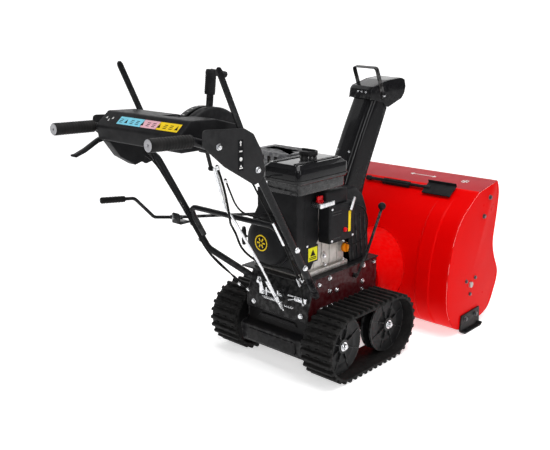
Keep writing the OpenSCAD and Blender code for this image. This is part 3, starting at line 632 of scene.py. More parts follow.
for x, s in ((-95, -1), (5, 1)):
    p.prism([(x + s * 16, -8), (x, -18), (x, 2)], -0.2, 0.2, "z", 0.05, 1, at=on_top)
p.done()
skin("gearbox", "cast_metal", 3, 3).bolt((20, -700, 240), (0, -1, 0), 8).done()

# ---- auger and impeller ------------------------------------------------------------------
skin("auger_shaft", "bare_steel", 0.8).done()
for s, side in ((1, "left"), (-1, "right")):
    p = Part("auger_" + side + "_flight", "auger", "black_steel", replaces="auger_" + side)
    for start in (0, 180):
        verts, k = [], 90
        for i in range(k + 1):
            a = radians(start + 300 * i / k)
            x = 70 + 275 * i / k
            top = 162 if i % 3 else 158.5
            for r, dx in ((121, -2), (top, -2), (top, 2), (121, 2)):
                verts.append((s * (x + dx), -655 + r * cos(a), 200 + r * sin(a)))
        faces = [(4 * i + q, 4 * i + (q + 1) % 4, 4 * i + 4 + (q + 1) % 4, 4 * i + 4 + q)
                 for i in range(k) for q in range(4)] + [(3, 2, 1, 0),
                                                         tuple(4 * k + q for q in range(4))]
        p.add(verts, faces, bevel=0.6, seg=1)
    for x, a in ((100, -57.3), (210, 62.7), (320, 182.7)):
        at = Matrix.Translation((s * x, -655, 200)) @ Matrix.Rotation(radians(a), 4, "X")
        for lo, hi in ((-141, -20), (20, 141)):
            p.box((-9, -3, lo), (9, 3, hi), 1.2, at=at)
        p.lathe([(17.2, -12), (22.5, -12), (24, -10.5), (24, 10.5), (22.5, 12), (17.2, 12),
                 (17.2, -12)], (s * x, -655, 200), (1, 0, 0), n=36)
        p.bolt((s * x, -655 + 24 * cos(radians(a)), 200 + 24 * sin(radians(a))),
               (0, cos(radians(a)), sin(radians(a))), 6)
    p.done()
skin("impeller", "black_steel", 1.2).done()

# ---- chassis -----------------------------------------------------------------------------
TUB = [(-280, 110), (-230, 90), (118, 62), (166, 72), (176, 142), (172, 146), (134, 152),
       (134, 202), (142, 206), (142, 252), (100, 366)]
tub = skin("chassis_tub", ["black_steel", "dark_red_steel"], 1.2)
for f in tub.bm.faces:
    if abs(f.calc_center_median().x) > 149.5:
        f.material_index = 1
for s in (1, -1):
    edge = [(s * 151.4, y, z) for y, z in TUB[2:]]
    tub.tube(fillet(edge, 12, 4), 3.2, 8, flat=0.7)
    tub.tube([(s * 150.4, -272, 214), (s * 150.4, 60, 214)], 4, 8, flat=0.5, mi=1)
tub.prism([(-96, 176), (96, 176), (84, 190), (-84, 190)], 134, 140, "y", 2, 3)
tub.box((-120, 170, 84), (120, 178, 132), 3, 3)
tub.done()
skin("engine_deck", "black_steel", 1.5, 3).done()

p = Part("zinc_details", "machine", "zinc", replaces="zinc_bolts")
for s in (1, -1):
    for y, z in [(-262, 348), (-194, 350), (-186, 287), (-186, 254), (-27, 293), (17, 350),
                 (17, 300), (78, 338)]:
        p.bolt((s * 150.1, y, z), (s, 0, 0), 9)
    p.bolt((s * 118, 142.1, 228), (0, 1, 0), 9)
    for y, z in ((664, 930), (507, 842)):
        p.bolt((s * 259.1, y, z), (s, 0, 0), 9)
    for y, z in ((323, 549), (283, 478)):
        p.bolt((s * 255.9, y, z), (s, 0, 0), 9)
    p.rod((s * 195.4, 530, 932), (s * 255.7, 530, 932), 5.9)
    p.bolt((s * 233, 530, 932), (s, 0, 0), 8, stub=False)
p.rod((199, 700, 921), (231, 700, 921), 4.95)
p.rod((-52, 168, 300), (60, 168, 300), 6)
for x in (-34, 22):
    p.box((x - 3, 144, 284), (x + 3, 176, 316), 1.2)
p.box((52, 160, 284), (58, 174, 344), 1.2)
p.prism([(50, 351), (66, 347), (46, 284), (30, 289)], 173, 176.5, "y", 1, 2)
p.prism([(4, 345), (24, 338), (-38, 268), (-54, 277)], 176.8, 180, "y", 1, 2)
for x, z in ((57, 340), (38, 293)):
    p.bolt((x, 176.5, z), (0, 1, 0), 6)
p.bolt((-42, 180, 278), (0, 1, 0), 6)
p.rod((55, 178.1, 334), (55, 186, 334), 7)
p.box((-149, 144, 284), (-94, 150, 303), 1.6)
p.rod((-90, 148, 300), (-70, 160, 304), 3)
p.rod((-90, 148, 290), (-72, 160, 286), 3)
coil = []
for k in range(9 * 12):
    a = 2 * pi * k / 12
    coil.append((-158 + 5 * cos(a), 72 - 84 * k / 108, 246 + 5 * sin(a)))
p.tube(coil, 1.5, 8)
p.rod((-158, 84, 246), (-158, -24, 246), 2.4, 12)
for x in (-120, -104):
    p.rod((x, 150, 295), (x, 158, 295), 6)
spring = []
for k in range(15 * 12):
    a = 2 * pi * k / 12
    spring.append((-30 + 75 * k / 180 + 0, 160 + 5.5 * cos(a), 270 + 5.5 * sin(a)))
p.tube(spring, 1.4, 8)
for x0, x1 in ((-44, -30), (44.5, 56)):
    p.rod((x0, 160, 270), (x1, 160, 270), 2.2, 10)
twist = [(-96 + 0.9 * k, 156 + 3.2 * cos(k * 0.55), 258 + 3.2 * sin(k * 0.55)) for k in range(50)]
p.tube(twist, 1.9, 8)
p.done()

p = Part("frame_rails", "machine", "dark_red_steel", replaces="track_frames")
for s in (1, -1):
    p2 = [(-234, 116), (96, 116), (96, 144), (42, 154), (-180, 154), (-234, 144)]
    lo, hi = sorted((s * 190, s * 197))
    hole = scratch()
    for y in (72, -210):
        hole.rod((s * 170, y, 130), (s * 220, y, 130), 15.1, 32)
    q = scratch().prism([(q.x, q.y) for q in fillet(flat2(p2), 9, 4)][:], lo, hi, "x", 1.4, 3,
                        edge_angle=60)
    cut(q, hole)
    p.take(q.bm)
    lo, hi = sorted((s * 150.3, s * 190.2))
    p.box((lo, -64, 120), (hi, -24, 152), 2, 3)
p.done()

# ---- tracks ------------------------------------------------------------------------------
WY, IY, WZ, RB = 72, -210, 130, 119
QUART = pi * RB
RUN = 2 * 282 + 2 * QUART


def lap(s, r):
    s %= RUN
    if s < 282:
        return IY + s, WZ + r
    if s < 282 + QUART:
        a = pi / 2 - pi * (s - 282) / QUART
        return WY + r * cos(a), WZ + r * sin(a)
    if s < 564 + QUART:
        return WY - (s - 282 - QUART), WZ - r
    a = -pi / 2 - pi * (s - 564 - QUART) / QUART
    return IY + r * cos(a), WZ + r * sin(a)


for s, side in ((1, "left"), (-1, "right")):
    b = Part("track_band_" + side, "machine", "track_rubber", replaces="track_belt_" + side,
             angle=34)
    n, verts, faces = 252, [], []
    section = [(-66, 110.2), (-69, 112), (-69, 118.4), (-67.8, 119.2), (67.8, 119.2),
               (69, 118.4), (69, 112), (66, 110.2)]
    for i in range(n):
        for x, r in section:
            y, z = lap(RUN * i / n, r)
            verts.append((s * (234 + x), y, z))
    k = len(section)
    faces = [(i * k + q, i * k + (q + 1) % k, (i + 1) % n * k + (q + 1) % k, (i + 1) % n * k + q)
             for i in range(n) for q in range(k)]
    b.add(verts, faces)
    for i in range(42):
        c = RUN * i / 42
        y0, z0 = lap(c - 0.5, 119)
        y1, z1 = lap(c + 0.5, 119)
        t = unit((0, y1 - y0, z1 - z0))
        y, z = lap(c, 119)
        x = V((1, 0, 0))
        at = Matrix.Translation((s * 234, y, z)) @ Matrix((x, t, x.cross(t))).transposed().to_4x4()
        if (at @ V((0, 0, 5)) - V((s * 234, -69, WZ))).length < (V((s * 234, y, z))
                                                                - V((s * 234, -69, WZ))).length:
            at = at @ Matrix.Rotation(pi, 4, "X")
        lug_faces = [(3, 2, 1, 0), (4, 5, 6, 7), (0, 1, 5, 4), (1, 2, 6, 5), (2, 3, 7, 6),
                     (3, 0, 4, 7)]
        v = [(-68.6, -8.4, -1.2), (68.6, -8.4, -1.2), (68.6, 8.4, -1.2), (-68.6, 8.4, -1.2),
             (-67.6, -5.2, 10.9), (67.6, -5.2, 10.9), (67.6, 5.2, 10.9), (-67.6, 5.2, 10.9)]
        b.add(v, lug_faces, at=at, bevel=1.5, seg=2)
        half = RUN / 84
        for x0 in (-50, -8, 34):
            b.box((x0, half - 2.6, -1), (x0 + 16, half + 2.6, 3.4), 1, 1, at=at, taper=0.9)
    b.done()

# ---- wheels ------------------------------------------------------------------------------
for name, y, drive in (("drive_wheel", WY, True), ("idler_wheel", IY, False)):
    for s, side in ((1, "left"), (-1, "right")):
        w = Part(name + "_" + side + "_disc", name + "_" + side, ["wheel_black", "zinc"],
                 replaces=name + "_" + side)
        holes = scratch()
        for a in range(0, 360, 45):
            c, q = 80 * cos(radians(a)), 80 * sin(radians(a))
            holes.rod((s * 200, y + c, WZ + q), (s * 270, y + c, WZ + q), 14, 28)
        disc = scratch()
        disc.lathe([(20, -34), (26, -34), (26, -22), (64, -22), (72, -21), (96, -21), (103, -24),
                    (109.2, -24), (109.3, -16), (104, -15), (97, -16), (60, -16), (60, 16),
                    (97, 16), (104, 15), (109.3, 16), (109.2, 24), (103, 24), (96, 21),
                    (72, 21), (64, 22), (58, 20), (30, 20), (27, 30), (15, 31), (15, -34),
                    (20, -34)], (s * 234, y, WZ), (s, 0, 0), n=72)
        cut(disc, holes)
        w.take(disc.bm)
        for a in range(0, 360, 45):
            at = (Matrix.Translation((s * 234, y, WZ))
                  @ Matrix.Rotation(radians(a + 22.5), 4, "X"))
            for lo, hi in ((20.4, 24),):
                l, h = sorted((s * lo, s * hi))
                w.box((l, 62, -2.2), (h, 104, 2.2), 0.9, at=at)
            l, h = sorted((s * 19, s * 27.5))
            w.box((l, 28, -2), (h, 60, 2), 0.9, at=at)
        w.rod((s * (120 if drive else 135), y, WZ), (s * 266, y, WZ), 14.9, 32, 1)
        if drive:
            w.lathe([(14, 154), (41, 154), (42, 155), (42, 159), (41, 160), (27, 160), (25, 158),
                     (14, 158), (14, 154)], (0, y, WZ), (s, 0, 0), 1, 48)
        w.lathe([(0, 0), (17, 0), (17.5, 0.6), (17.5, 1.8), (17, 2.4), (0, 2.4)],
                (s * 264.5, y, WZ), (s, 0, 0), 1, 36)
        hexa = [(11.6 * cos(k * pi / 3), 11.6 * sin(k * pi / 3)) for k in range(6)]
        w.prism(hexa, 32.5, 42, "z", 1, 2, 1,
                Matrix.Translation((s * 234, y, WZ)) @ basis((s, 0, 0)))
        w.lathe([(0, 42), (6.6, 42), (6.6, 44.2), (5.8, 44.9), (0, 44.9)], (s * 234, y, WZ),
                (s, 0, 0), 1, 20)
        w.done()

# ---- engine ------------------------------------------------------------------------------
p = skin("crankcase", "cast_alloy", 4, 3)
for x, z in ((-100, 392), (-100, 480), (-60, 400), (86, 392), (86, 480)):
    p.lathe([(0, 0), (9, 0), (8, 5), (0, 5)], (x, -104, z), (0, -1, 0), n=24)
for y in (-66, -20, 26, 72, 110):
    p.box((-121, y - 3, 392), (-117, y + 3, 494), 1.4)
for y, z in ((-96, 392), (-96, 490), (14, 398), (14, 492), (120, 392), (120, 490)):
    p.lathe([(0, 0), (8, 0), (7.4, 6), (0, 6)], (-118, y, z), (-1, 0, 0), n=24)
p.lathe([(0, 0), (15, 0), (14, 5), (9, 7), (0, 7)], (-118, 20, 432), (-1, 0, 0), n=32)
p.done()
p = Part("crankcase_bolts", "machine", "zinc")
for y, z in ((-96, 392), (-96, 490), (14, 398), (14, 492), (120, 392), (120, 490)):
    p.bolt((-124, y, z), (-1, 0, 0), 6)
p.bolt((-125, 20, 432), (-1, 0, 0), 8)
p.done()
skin("cylinder_block", "cast_alloy", 1.2).done()
p = skin("fan_shroud", "black_plastic", 6, 4)
p.box((-129.5, 60, 424), (-122, 139, 488), 3, 3)
p.done()
p = Part("shroud_label", "machine", ["print_lime", "print_black"])
p.prism([(66, 431), (116, 431), (116, 481), (66, 481)], -130.3, -129.4, "x", 0.2, 1)
p.prism([(91, 474), (77, 450), (105, 450)], -130.9, -130.2, "x", 0.1, 1, 1)
for z in (443, 437):
    p.prism([(72, z), (110, z), (110, z + 3), (72, z + 3)], -130.9, -130.2, "x", 0.1, 1, 1)
p.done()

p = Part("recoil_cover_shell", "machine", "black_plastic", replaces="recoil_cover")
holes = scratch()
holes.rod((50, 200, 503), (120, 200, 503), 3.1, 16)
dome = scratch()
dome.lathe([(80, 186.3), (90, 186.3), (92, 187.5), (92, 193), (90, 199), (84, 211), (78, 216),
            (62, 223), (44, 227), (40, 228), (0, 228), (0, 222), (40, 222), (56, 220),
            (77, 209), (80, 190), (80, 186.3)], (-4, 0, 503), (0, 1, 0), n=96)
cut(dome, holes)
p.take(dome.bm)
for a in range(0, 360, 90):
    c, q = 86 * cos(radians(a + 45)), 86 * sin(radians(a + 45))
    p.lathe([(0, 0), (6, 0), (6, 4), (4.5, 5.5), (0, 5.5)], (-4 + c, 189, 503 + q), (0, 1, 0),
            n=20)
p.done()
p = Part("recoil_label", "machine", ["print_yellow", "print_black"])
p.lathe([(0, 0), (31, 0), (31.4, 0.3), (31, 0.6), (0, 0.6)], (-4, 228, 503), (0, 1, 0), 1, 64)
p.lathe([(25.5, 0.5), (30, 0.5), (30, 0.9), (25.5, 0.9), (25.5, 0.5)], (-4, 228, 503),
        (0, 1, 0), 0, 64)
for a in range(0, 360, 60):
    at = Matrix.Translation((-4, 228.8, 503)) @ Matrix.Rotation(radians(a), 4, "Y")
    p.box((6, 0, -2.6), (19, 0.4, 2.6), 0.1, 1, 0, at)
p.done()
p = Part("pull_grip", "recoil_handle", "black_plastic", replaces="recoil_handle")
p.rod((-60, 200, 503), (100, 200, 503), 2, 12)
p.lathe([(0, 0), (5, 0), (5.4, 2), (7.6, 10.6), (8, 12), (0, 12)], (96, 200, 503), (1, 0, 0))
g = []
for i in range(25):
    t = i / 24
    g.append((9 - 3 * abs(2 * t - 1) ** 4 + 0.35 * cos(t * 40), -34 + 68 * t))
p.lathe([(0, -34)] + g + [(0, 34)], (110, 200, 503), (0, 0, 1), n=32)
p.done()

p = Part("fuel_tank_shell", "machine", "tank_plastic", replaces="fuel_tank")


def super_ring(cx, cy, hx, hy, z, r, n=8):
    pts = []
    for sx, sy, a0 in ((1, 1, 0), (-1, 1, 90), (-1, -1, 180), (1, -1, 270)):
        for i in range(n + 1):
            a = radians(a0 + 90 * i / n)
            pts.append((cx + sx * (hx - r) + r * cos(a), cy + sy * (hy - r) + r * sin(a), z))
    return pts


def stack(s, rings, mi=0, caps=True):
    n = len(rings[0])
    v = [q for r in rings for q in r]
    f = [(i * n + k, i * n + (k + 1) % n, (i + 1) * n + (k + 1) % n, (i + 1) * n + k)
         for i in range(len(rings) - 1) for k in range(n)]
    if caps:
        f += [tuple(range(n))[::-1], tuple((len(rings) - 1) * n + k for k in range(n))]
    return s.add(v, f, mi)


stack(p, [super_ring(-104, 101, hx, hy, z, r) for hx, hy, z, r in
          ((70, 123, 697, 12), (74, 127, 699, 14), (76, 129, 704, 15), (76, 129, 736, 15))])
stack(p, [super_ring(-104, 101, hx, hy, z, r) for hx, hy, z, r in
          ((76, 129, 734, 14), (80, 133, 736, 15), (82, 135, 740, 16), (82, 135, 746.2, 16),
           (86, 139, 746.4, 18), (86, 139, 750, 18), (82, 135, 750.2, 16), (82, 135, 784, 16),
           (81, 134, 788, 16), (77, 130, 791, 16), (70, 123, 797, 14), (68, 121, 799, 14),
           (67, 120, 801, 14), (60, 112, 801.5, 12))])
p.lathe([(22.2, -4), (30, -4), (30, 12), (29, 14), (22.2, 14), (22.2, -4)], (-104, 90, 800),
        (0, 0, 1), n=48)
for x in (-156, -146, -62, -52):
    p.box((x - 2.4, -10, 800.5), (x + 2.4, 214, 804.5), 1.4)
p.done()
p = Part("fuel_cap_knob", "fuel_cap", "black_plastic", replaces="fuel_cap")
verts, k = [], 96
prof = [(0, 0), (32, 0), (33, 1), (33, 13), (31.5, 15.5), (28, 16), (0, 16)]
for r, h in prof[1:-1]:
    for i in range(k):
        q = r - (0.9 if i % 4 < 2 and 0.5 < h < 15 else 0)
        verts.append((-104 + q * cos(2 * pi * i / k), 90 + q * sin(2 * pi * i / k), 814.3 + h))
m = len(prof) - 2
p.add(verts, [(i * k + q, i * k + (q + 1) % k, (i + 1) * k + (q + 1) % k, (i + 1) * k + q)
              for i in range(m - 1) for q in range(k)]
      + [tuple(range(k))[::-1], tuple((m - 1) * k + q for q in range(k))])
p.box((-132, 85, 830), (-76, 95, 836.2), 2, 3)
p.rod((-104, 90, 798.4), (-104, 90, 815), 20.9, 40)
p.done()
skin("muffler", "bare_steel", 8, 4).done()
skin("muffler_guard", "grey_steel", 1.1).done()

p = Part("airbox", "machine", ["black_plastic", "print_yellow", "zinc"], replaces="control_box")
bores = scratch()
bores.rod((-150, 80, 641), (-150, 80, 680), 8.06, 32)
bores.rod((-200, -32, 532), (-162, -32, 532), 9.06, 32)
bores.rod((-200, -60, 610), (-162, -60, 610), 6.06, 24)
body = scratch()
body.box((-178, -90, 492), (-124, 56, 632), 7, 4)
cut(body, bores)
p.take(body.bm)
bores = scratch()
bores.rod((-150, 80, 641), (-150, 80, 680), 8.06, 32)
body = scratch()
body.box((-172, 20, 631), (-128, 100, 650), 3, 3)
cut(body, bores)
for f in body.bm.faces:
    f.material_index = 2
p.take(body.bm)
p.box((-166, -60, 631), (-20, 60, 684), 9, 4)
p.box((-178.9, -66, 520), (-177.4, -52, 598), 0.4, 1, 1)
for z in (508, 596, 606):
    p.box((-178.8, -10, z), (-177, 46, z + 3), 0.8, 1)
for y, z in ((-78, 503), (44, 503), (44, 620)):
    p.lathe([(0, 0), (5, 0), (4.2, 2.4), (0, 2.6)], (-177.8, y, z), (-1, 0, 0), 2, 20)
p.done()
p = Part("key", "ignition_key", ["red_plastic", "zinc"], replaces="ignition_key")
p.rod((-150, 80, 642), (-150, 80, 651.4), 7.9, 32, 1)
p.lathe([(0, 0), (13, 0), (14, 1), (14, 4), (12.6, 5), (0, 5)], (-150, 80, 651), (0, 0, 1))
p.box((-154, 66, 655), (-146, 94, 673), 2.4, 3)
p.done()
p = Part("primer_bulb", "primer_button", "red_plastic", replaces="primer_button")
p.lathe([(0, 0), (8.9, 0), (8.9, 9), (8.6, 12), (7.2, 15), (4, 16.7), (0, 17)],
        (-170, -32, 532), (-1, 0, 0))
p.done()
p = skin("choke_lever", "zinc", 0.7)
p.done()
p = Part("filler_cap", "oil_cap", "orange_plastic", replaces="oil_cap")
verts, k = [], 72
prof = [(18, 0), (19, 1), (19, 8), (18, 10)]
for r, h in prof:
    for i in range(k):
        q = r - (0.8 if i % 4 < 2 and 0.5 < h < 9 else 0)
        verts.append((-136.3 - h, -84 + q * cos(2 * pi * i / k), 446 + q * sin(2 * pi * i / k)))
p.add(verts, [(i * k + q, i * k + (q + 1) % k, (i + 1) * k + (q + 1) % k, (i + 1) * k + q)
              for i in range(3) for q in range(k)]
      + [tuple(range(k))[::-1], tuple(3 * k + q for q in range(k))])
p.box((-155.3, -87, 431), (-146, -81, 461), 1.6, 3)
p.rod((-128.3, -84, 446), (-137, -84, 446), 11.8, 24)
p.done()

p = skin("belt_cover", "black_plastic", 5, 3)
for y in (-236, -208, -180, -152):
    p.tube([(-129.2, y, 380), (-113.6, y, 552)], 2.4, 8)
p.done()
skin("drive_pulley", "cast_metal", 0.8).done()
skin("drive_belt", "belt_rubber", 0.8).done()
p = Part("height_lever_bar", "height_lever", ["black_steel", "black_plastic"],
         replaces="height_lever")
p.rod((-166, -130, 326), (-151, -130, 326), 9)
p.tube(fillet([(-166, -130, 326), (-186, -165, 420), (-194, -240, 578)], 60, 8), 5.5, 16)
p.lathe([(0, -15)] + [(15 * cos(radians(a)), 15 * sin(radians(a))) for a in range(-80, 81, 10)]
        + [(0, 15)], (-194, -240, 584), (0, 0, 1), 1, 32)
p.done()

# ---- handle frame ------------------------------------------------------------------------
ROUTE = [(168, 120, 322), (243, 258, 442), (243, 480, 812), (243, 580, 898), (231, 735, 952),
         (226, 878, 957)]


def both(points, s):
    return [(s * x, y, z) for x, y, z in points]


p = Part("handle_tubes_bar", "machine", ["black_tube", "zinc"], replaces="handle_tubes")
for s in (1, -1):
    path = fillet(both(ROUTE, s), 70, 10)
    p.tube(path, 12.5, 28)
    p.rod((s * 150.3, 110, 318), (s * 164, 110, 318), 10)
    p.rod((s * 158, 104, 306), (s * 174, 132, 332), 13.2, 24)
hole = scratch().rod((280, 374, 577), (280, 400, 582), 6.1, 28)
p.box((243, 337, 557), (292, 388, 561), 1.2)
plate = scratch()
plate.prism([(250, 557), (292, 557), (292, 590), (286, 596), (256, 596), (250, 590)], 384, 388,
            "y", 1, 2)
cut(plate, hole)
p.take(plate.bm)
p.done()
p = Part("crossbar_tube", "machine", ["black_tube", "zinc"], replaces="crossbar")
cross = [(217, 300, 508), (215, 350, 592), (207, 364, 617), (186, 371, 629)]
cross += [(-x, y, z) for x, y, z in cross[::-1]]
p.tube(fillet(cross, 26, 6), 9.5, 24)
for s in (1, -1):
    p.rod((s * 226, 312, 529), (s * 230.4, 312, 529), 5)
p.done()

# ---- dash --------------------------------------------------------------------------------
DASH = [(748, 914), (758, 960), (708, 1002), (610, 998), (520, 974), (498, 952), (498, 912)]
DASH_IN = [(744, 905), (754, 958), (706, 998), (611, 994), (522, 970), (502, 950), (502, 905)]
shellp = scratch().prism(DASH, -195, 195, "x", 7, 4, edge_angle=20)
hollow = scratch().prism(DASH_IN, -191, 191, "x", 3, 2)
cut(shellp, hollow)
cut(shellp, scratch().box((-100.5, 380, 900), (-24.5, 672, 1030), 0))
p = Part("dash_shell", "machine", "black_plastic", replaces="dash_panel")
p.take(shellp.bm)
p.done()

# printed strip on the rear bevel and the small marks beside it
ba, bb = V((0, 758, 960)), V((0, 708, 1002))
up_ = (bb - ba).normalized()
out_ = V((1, 0, 0)).cross(up_).normalized()
if out_.y < 0:
    out_ = -out_
mid = (ba + bb) / 2 + out_ * 0.35
on_bevel = Matrix.Translation(mid) @ Matrix((V((-1, 0, 0)), up_, V((-1, 0, 0)).cross(up_))
                                            ).transposed().to_4x4()
p = Part("dash_strip", "machine", ["print_cyan", "print_pink", "print_yellow", "print_white",
                                   "print_black"])
for mi, (x0, x1) in enumerate(((105, -10), (-10, -82), (-82, -177))):
    a, b = sorted((-x0, -x1))
    p.prism([(a + 1, -15), (b - 1, -15), (b - 1, 15), (a + 1, 15)], -0.25, 0.25, "z", 0.06, 1, mi,
            on_bevel)
for i in range(11):
    x = -97 + i * 25.6
    if i % 3 == 1:
        p.prism([(x, -8), (x + 13, -8), (x + 6.5, 8)], 0.25, 0.45, "z", 0.05, 1, 4, on_bevel)
    else:
        for k in range(3):
            p.prism([(x, -8 + k * 6), (x + 14, -8 + k * 6), (x + 14, -5.6 + k * 6),
                     (x, -5.6 + k * 6)], 0.25, 0.45, "z", 0.05, 1, 4, on_bevel)
for x, y in ((-168, 5), (-152, -4), (-138, 5)):
    p.prism([(x - 4, y - 4), (x + 4, y - 4), (x, y + 5)], 0.0, 0.3, "z", 0.05, 1, 3, on_bevel)
p.done()
skin("dash_belly", "black_plastic", 5, 3).done()

p = Part("quadrant_dome", "machine", ["black_plastic", "print_white"],
         replaces="gear_quadrant")
dome = scratch()
dome.lathe([(0, -100), (128, -100), (135, -98), (138, -94), (138, -31), (135, -27), (128, -25),
            (0, -25), (0, -29), (126, -29), (134, -33), (134, -92), (126, -96), (0, -96),
            (0, -100)], (0, 530, 880), (1, 0, 0), n=128)
cut(dome, scratch().box((-120, 300, 700), (0, 800, 916), 0))
cut(dome, scratch().box((-70, 452, 960), (-54, 626, 1040), 0))
p.take(dome.bm)
for i in range(9):
    a = radians(58 + 8 * i)
    y, z = 530 + 138 * cos(a), 880 + 138 * sin(a)
    at = Matrix.Translation((-42, y, z)) @ basis((0, cos(a), sin(a)))
    p.box((-7 if i % 4 == 0 else -4, -0.8, -0.1), (5, 0.8, 0.35), 0.08, 1, 1, at)
p.done()

p = Part("shift_lever_bar", "shift_lever", "black_plastic", replaces="shift_lever")
p.rod((-92, 530, 880), (-32, 530, 880), 8)
at = Matrix.Translation((-62, 530, 880)) @ Matrix.Rotation(radians(6.6), 4, "X")
p.box((-2.5, -13, 0), (2.5, 13, 186), 1.1, at=at)
at = Matrix.Translation((-62, 512, 1052)) @ basis((0, -9, 76))
g = [(0, 0), (14.5, 0), (16.6, 2)]
for i in range(30):
    g.append((17 - (1.0 if i % 3 == 0 else 0), 6 + i * 2))
p.lathe(g + [(16.8, 70), (15.5, 75), (11, 77), (0, 77)], (0, 0, 0), (0, 0, 1), n=40, at=at)
p.rod((-62, 506, 1121), (-62, 440, 1108), 9.8, 24, 0, 4)
p.rod((-62, 530, 880), (-62, 514, 824), 6)
p.rod((-68, 514, 822), (-56, 514, 822), 8)
p.done()
p = Part("shift_rod_bar", "shift_rod", "zinc", replaces="shift_rod")
p.tube(fillet([(-78, 514, 826), (-78, 471, 689), (-78, 436, 645), (-78, 300, 440)], 20, 6), 5, 16)
p.rod((-78, 514, 826), (-78, 476, 705), 6.4)
p.rod((-78, 320, 471), (-78, 190, 256), 4, 16)
p.rod((-78, 214, 294), (-78, 196, 265.5), 7, 6)
p.rod((-78, 230, 320), (-78, 222, 307), 7, 6)
p.done()

# ---- side plates with picture marks ------------------------------------------------------
SIDE = [(722, 984), (560, 972), (522, 952), (489, 899), (473, 837), (490, 806), (521, 798),
        (642, 870), (724, 938)]
for s in (1, -1):
    side = "left" if s > 0 else "right"
    p = Part("side_plate_" + side, "machine", "plate_grey",
             replaces="side_plates" if s > 0 else ())
    lo, hi = sorted((s * 256, s * 259))
    plate = scratch().prism([(q.x, q.y) for q in fillet(flat2([SIDE[-1]] + SIDE + [SIDE[0]]),
                                                        14, 5)][1:-1], lo, hi, "x", 0.9, 2,
                            edge_angle=50)
    p.take(plate.bm)
    p.done()
p = Part("side_pictures", "machine", ["print_black", "print_white"])


def mark(y, z, shapes):
    """Small black square with a white picture, on the right plate."""
    p.prism([(y - 11, z - 11), (y + 11, z - 11), (y + 11, z + 11), (y - 11, z + 11)], -259.6,
            -259.1, "x", 0.15, 1)
    for poly in shapes:
        p.prism([(y + a, z + b) for a, b in poly], -259.9, -259.5, "x", 0.05, 1, 1)


ring = [(6 * cos(radians(a)), 6 * sin(radians(a))) for a in range(0, 360, 30)]
mark(577, 930, [[(-2, -7), (2, -7), (2, 4), (-2, 4)], [(-5, 2), (5, 2), (0, 8)]])
mark(577, 907, [[(-6, -2), (6, -2), (6, 2), (-6, 2)]])
mark(577, 884, [ring])
mark(577, 861, [[(-7, -5), (7, -5), (7, -2), (-7, -2)], [(-4, 0), (4, 0), (0, 7)]])
p.done()

# ---- grips and levers --------------------------------------------------------------------
for s in (1, -1):
    side = "left" if s > 0 else "right"
    a, b = V((s * 231, 735, 952)), V((s * 226, 878, 957))
    d = (b - a).normalized()
    p = Part("grip_" + side, "machine", ["grip_rubber", "print_alloy", "black_plastic"],
             replaces="hand_grips" if s > 0 else ())
    n0 = (b - a).length
    prof = [(12.6, 6), (17.5, 6), (19, 8)]
    for i in range(36):
        prof.append((19 - (1.1 if i % 3 == 0 else 0), 12 + i * 3.4))
    prof += [(19, n0 + 1), (18.4, n0 + 6), (17, n0 + 7.6)]
    p.lathe(prof, a, d, 0, 40)
    p.lathe([(17, n0 + 7.6), (16, n0 + 8), (5, n0 + 8), (4, n0 + 7.4), (4, n0 + 2), (0, n0 + 2)],
            a, d, 1, 40)
    p.done()
    c = Part("clutch_lever_bar_" + side, "clutch_lever_" + side, "black_tube",
             replaces="clutch_lever_" + side)
    at = Matrix.Translation((s * 229, 530, 932)) @ Matrix.Rotation(radians(-25.5), 4, "X")
    bar = scratch().prism([(-10, 0), (10, 0), (10, 226), (7, 235), (0, 238.5), (-7, 235),
                           (-10, 226)], -3, 3, "x", 1.2, 3, at=at)
    eye = scratch().lathe([(6.1, -3), (13.5, -3), (14, -2.5), (14, 2.5), (13.5, 3), (6.1, 3),
                           (6.1, -3)], (0, 0, 0), (1, 0, 0), n=40, at=at)
    cut(bar, scratch().rod((s * 200, 530, 932), (s * 260, 530, 932), 6.1, 32))
    c.take(bar.bm)
    c.take(eye.bm)
    c.done()
skin("steer_trigger", "black_plastic", 2.2, 3).done()

# ---- crank -------------------------------------------------------------------------------
p = Part("crank_handle_bar", "crank_handle", ["black_tube", "grip_rubber", "zinc"],
         replaces="crank_handle")
p.tube(fillet([(280, 383.5, 578.8), (280, 478, 597), (280, 560, 680), (280, 640, 689.2)], 34, 8),
       6, 20)
a, b = V((280, 602, 684.85)), V((280, 696, 695.7))
prof = [(6, 0), (9.5, 0), (10.8, 2)]
for i in range(21):
    prof.append((11 - (1.1 if i % 3 == 0 else 0), 5 + i * 4))
prof += [(10.6, 92.5), (8, 94.3), (0, 94.5)]
p.lathe(prof, a, b - a, 1, 36)
p.rod((280, 391, 580.27), (280, 402, 582.38), 9, 24, 2)
p.done()
p = Part("crank_shaft_bar", "crank_shaft", ["black_tube", "zinc"], replaces="crank_shaft")
a, b = V((280, 374, 577)), V((196, -262, 492))
d = (b - a).normalized()
p.rod(a + d * 10, b, 6, 20)
p.rod(a + d * 6, a + d * 22, 9, 24, 1)
p.lathe([(0, -7)] + [(7 * cos(radians(t)), 7 * sin(radians(t))) for t in range(-70, 71, 14)]
        + [(0, 7)], a, d, 1, 24)
p.rod(b - d * 6, b + d * 14, 9, 24, 1)
p.done()

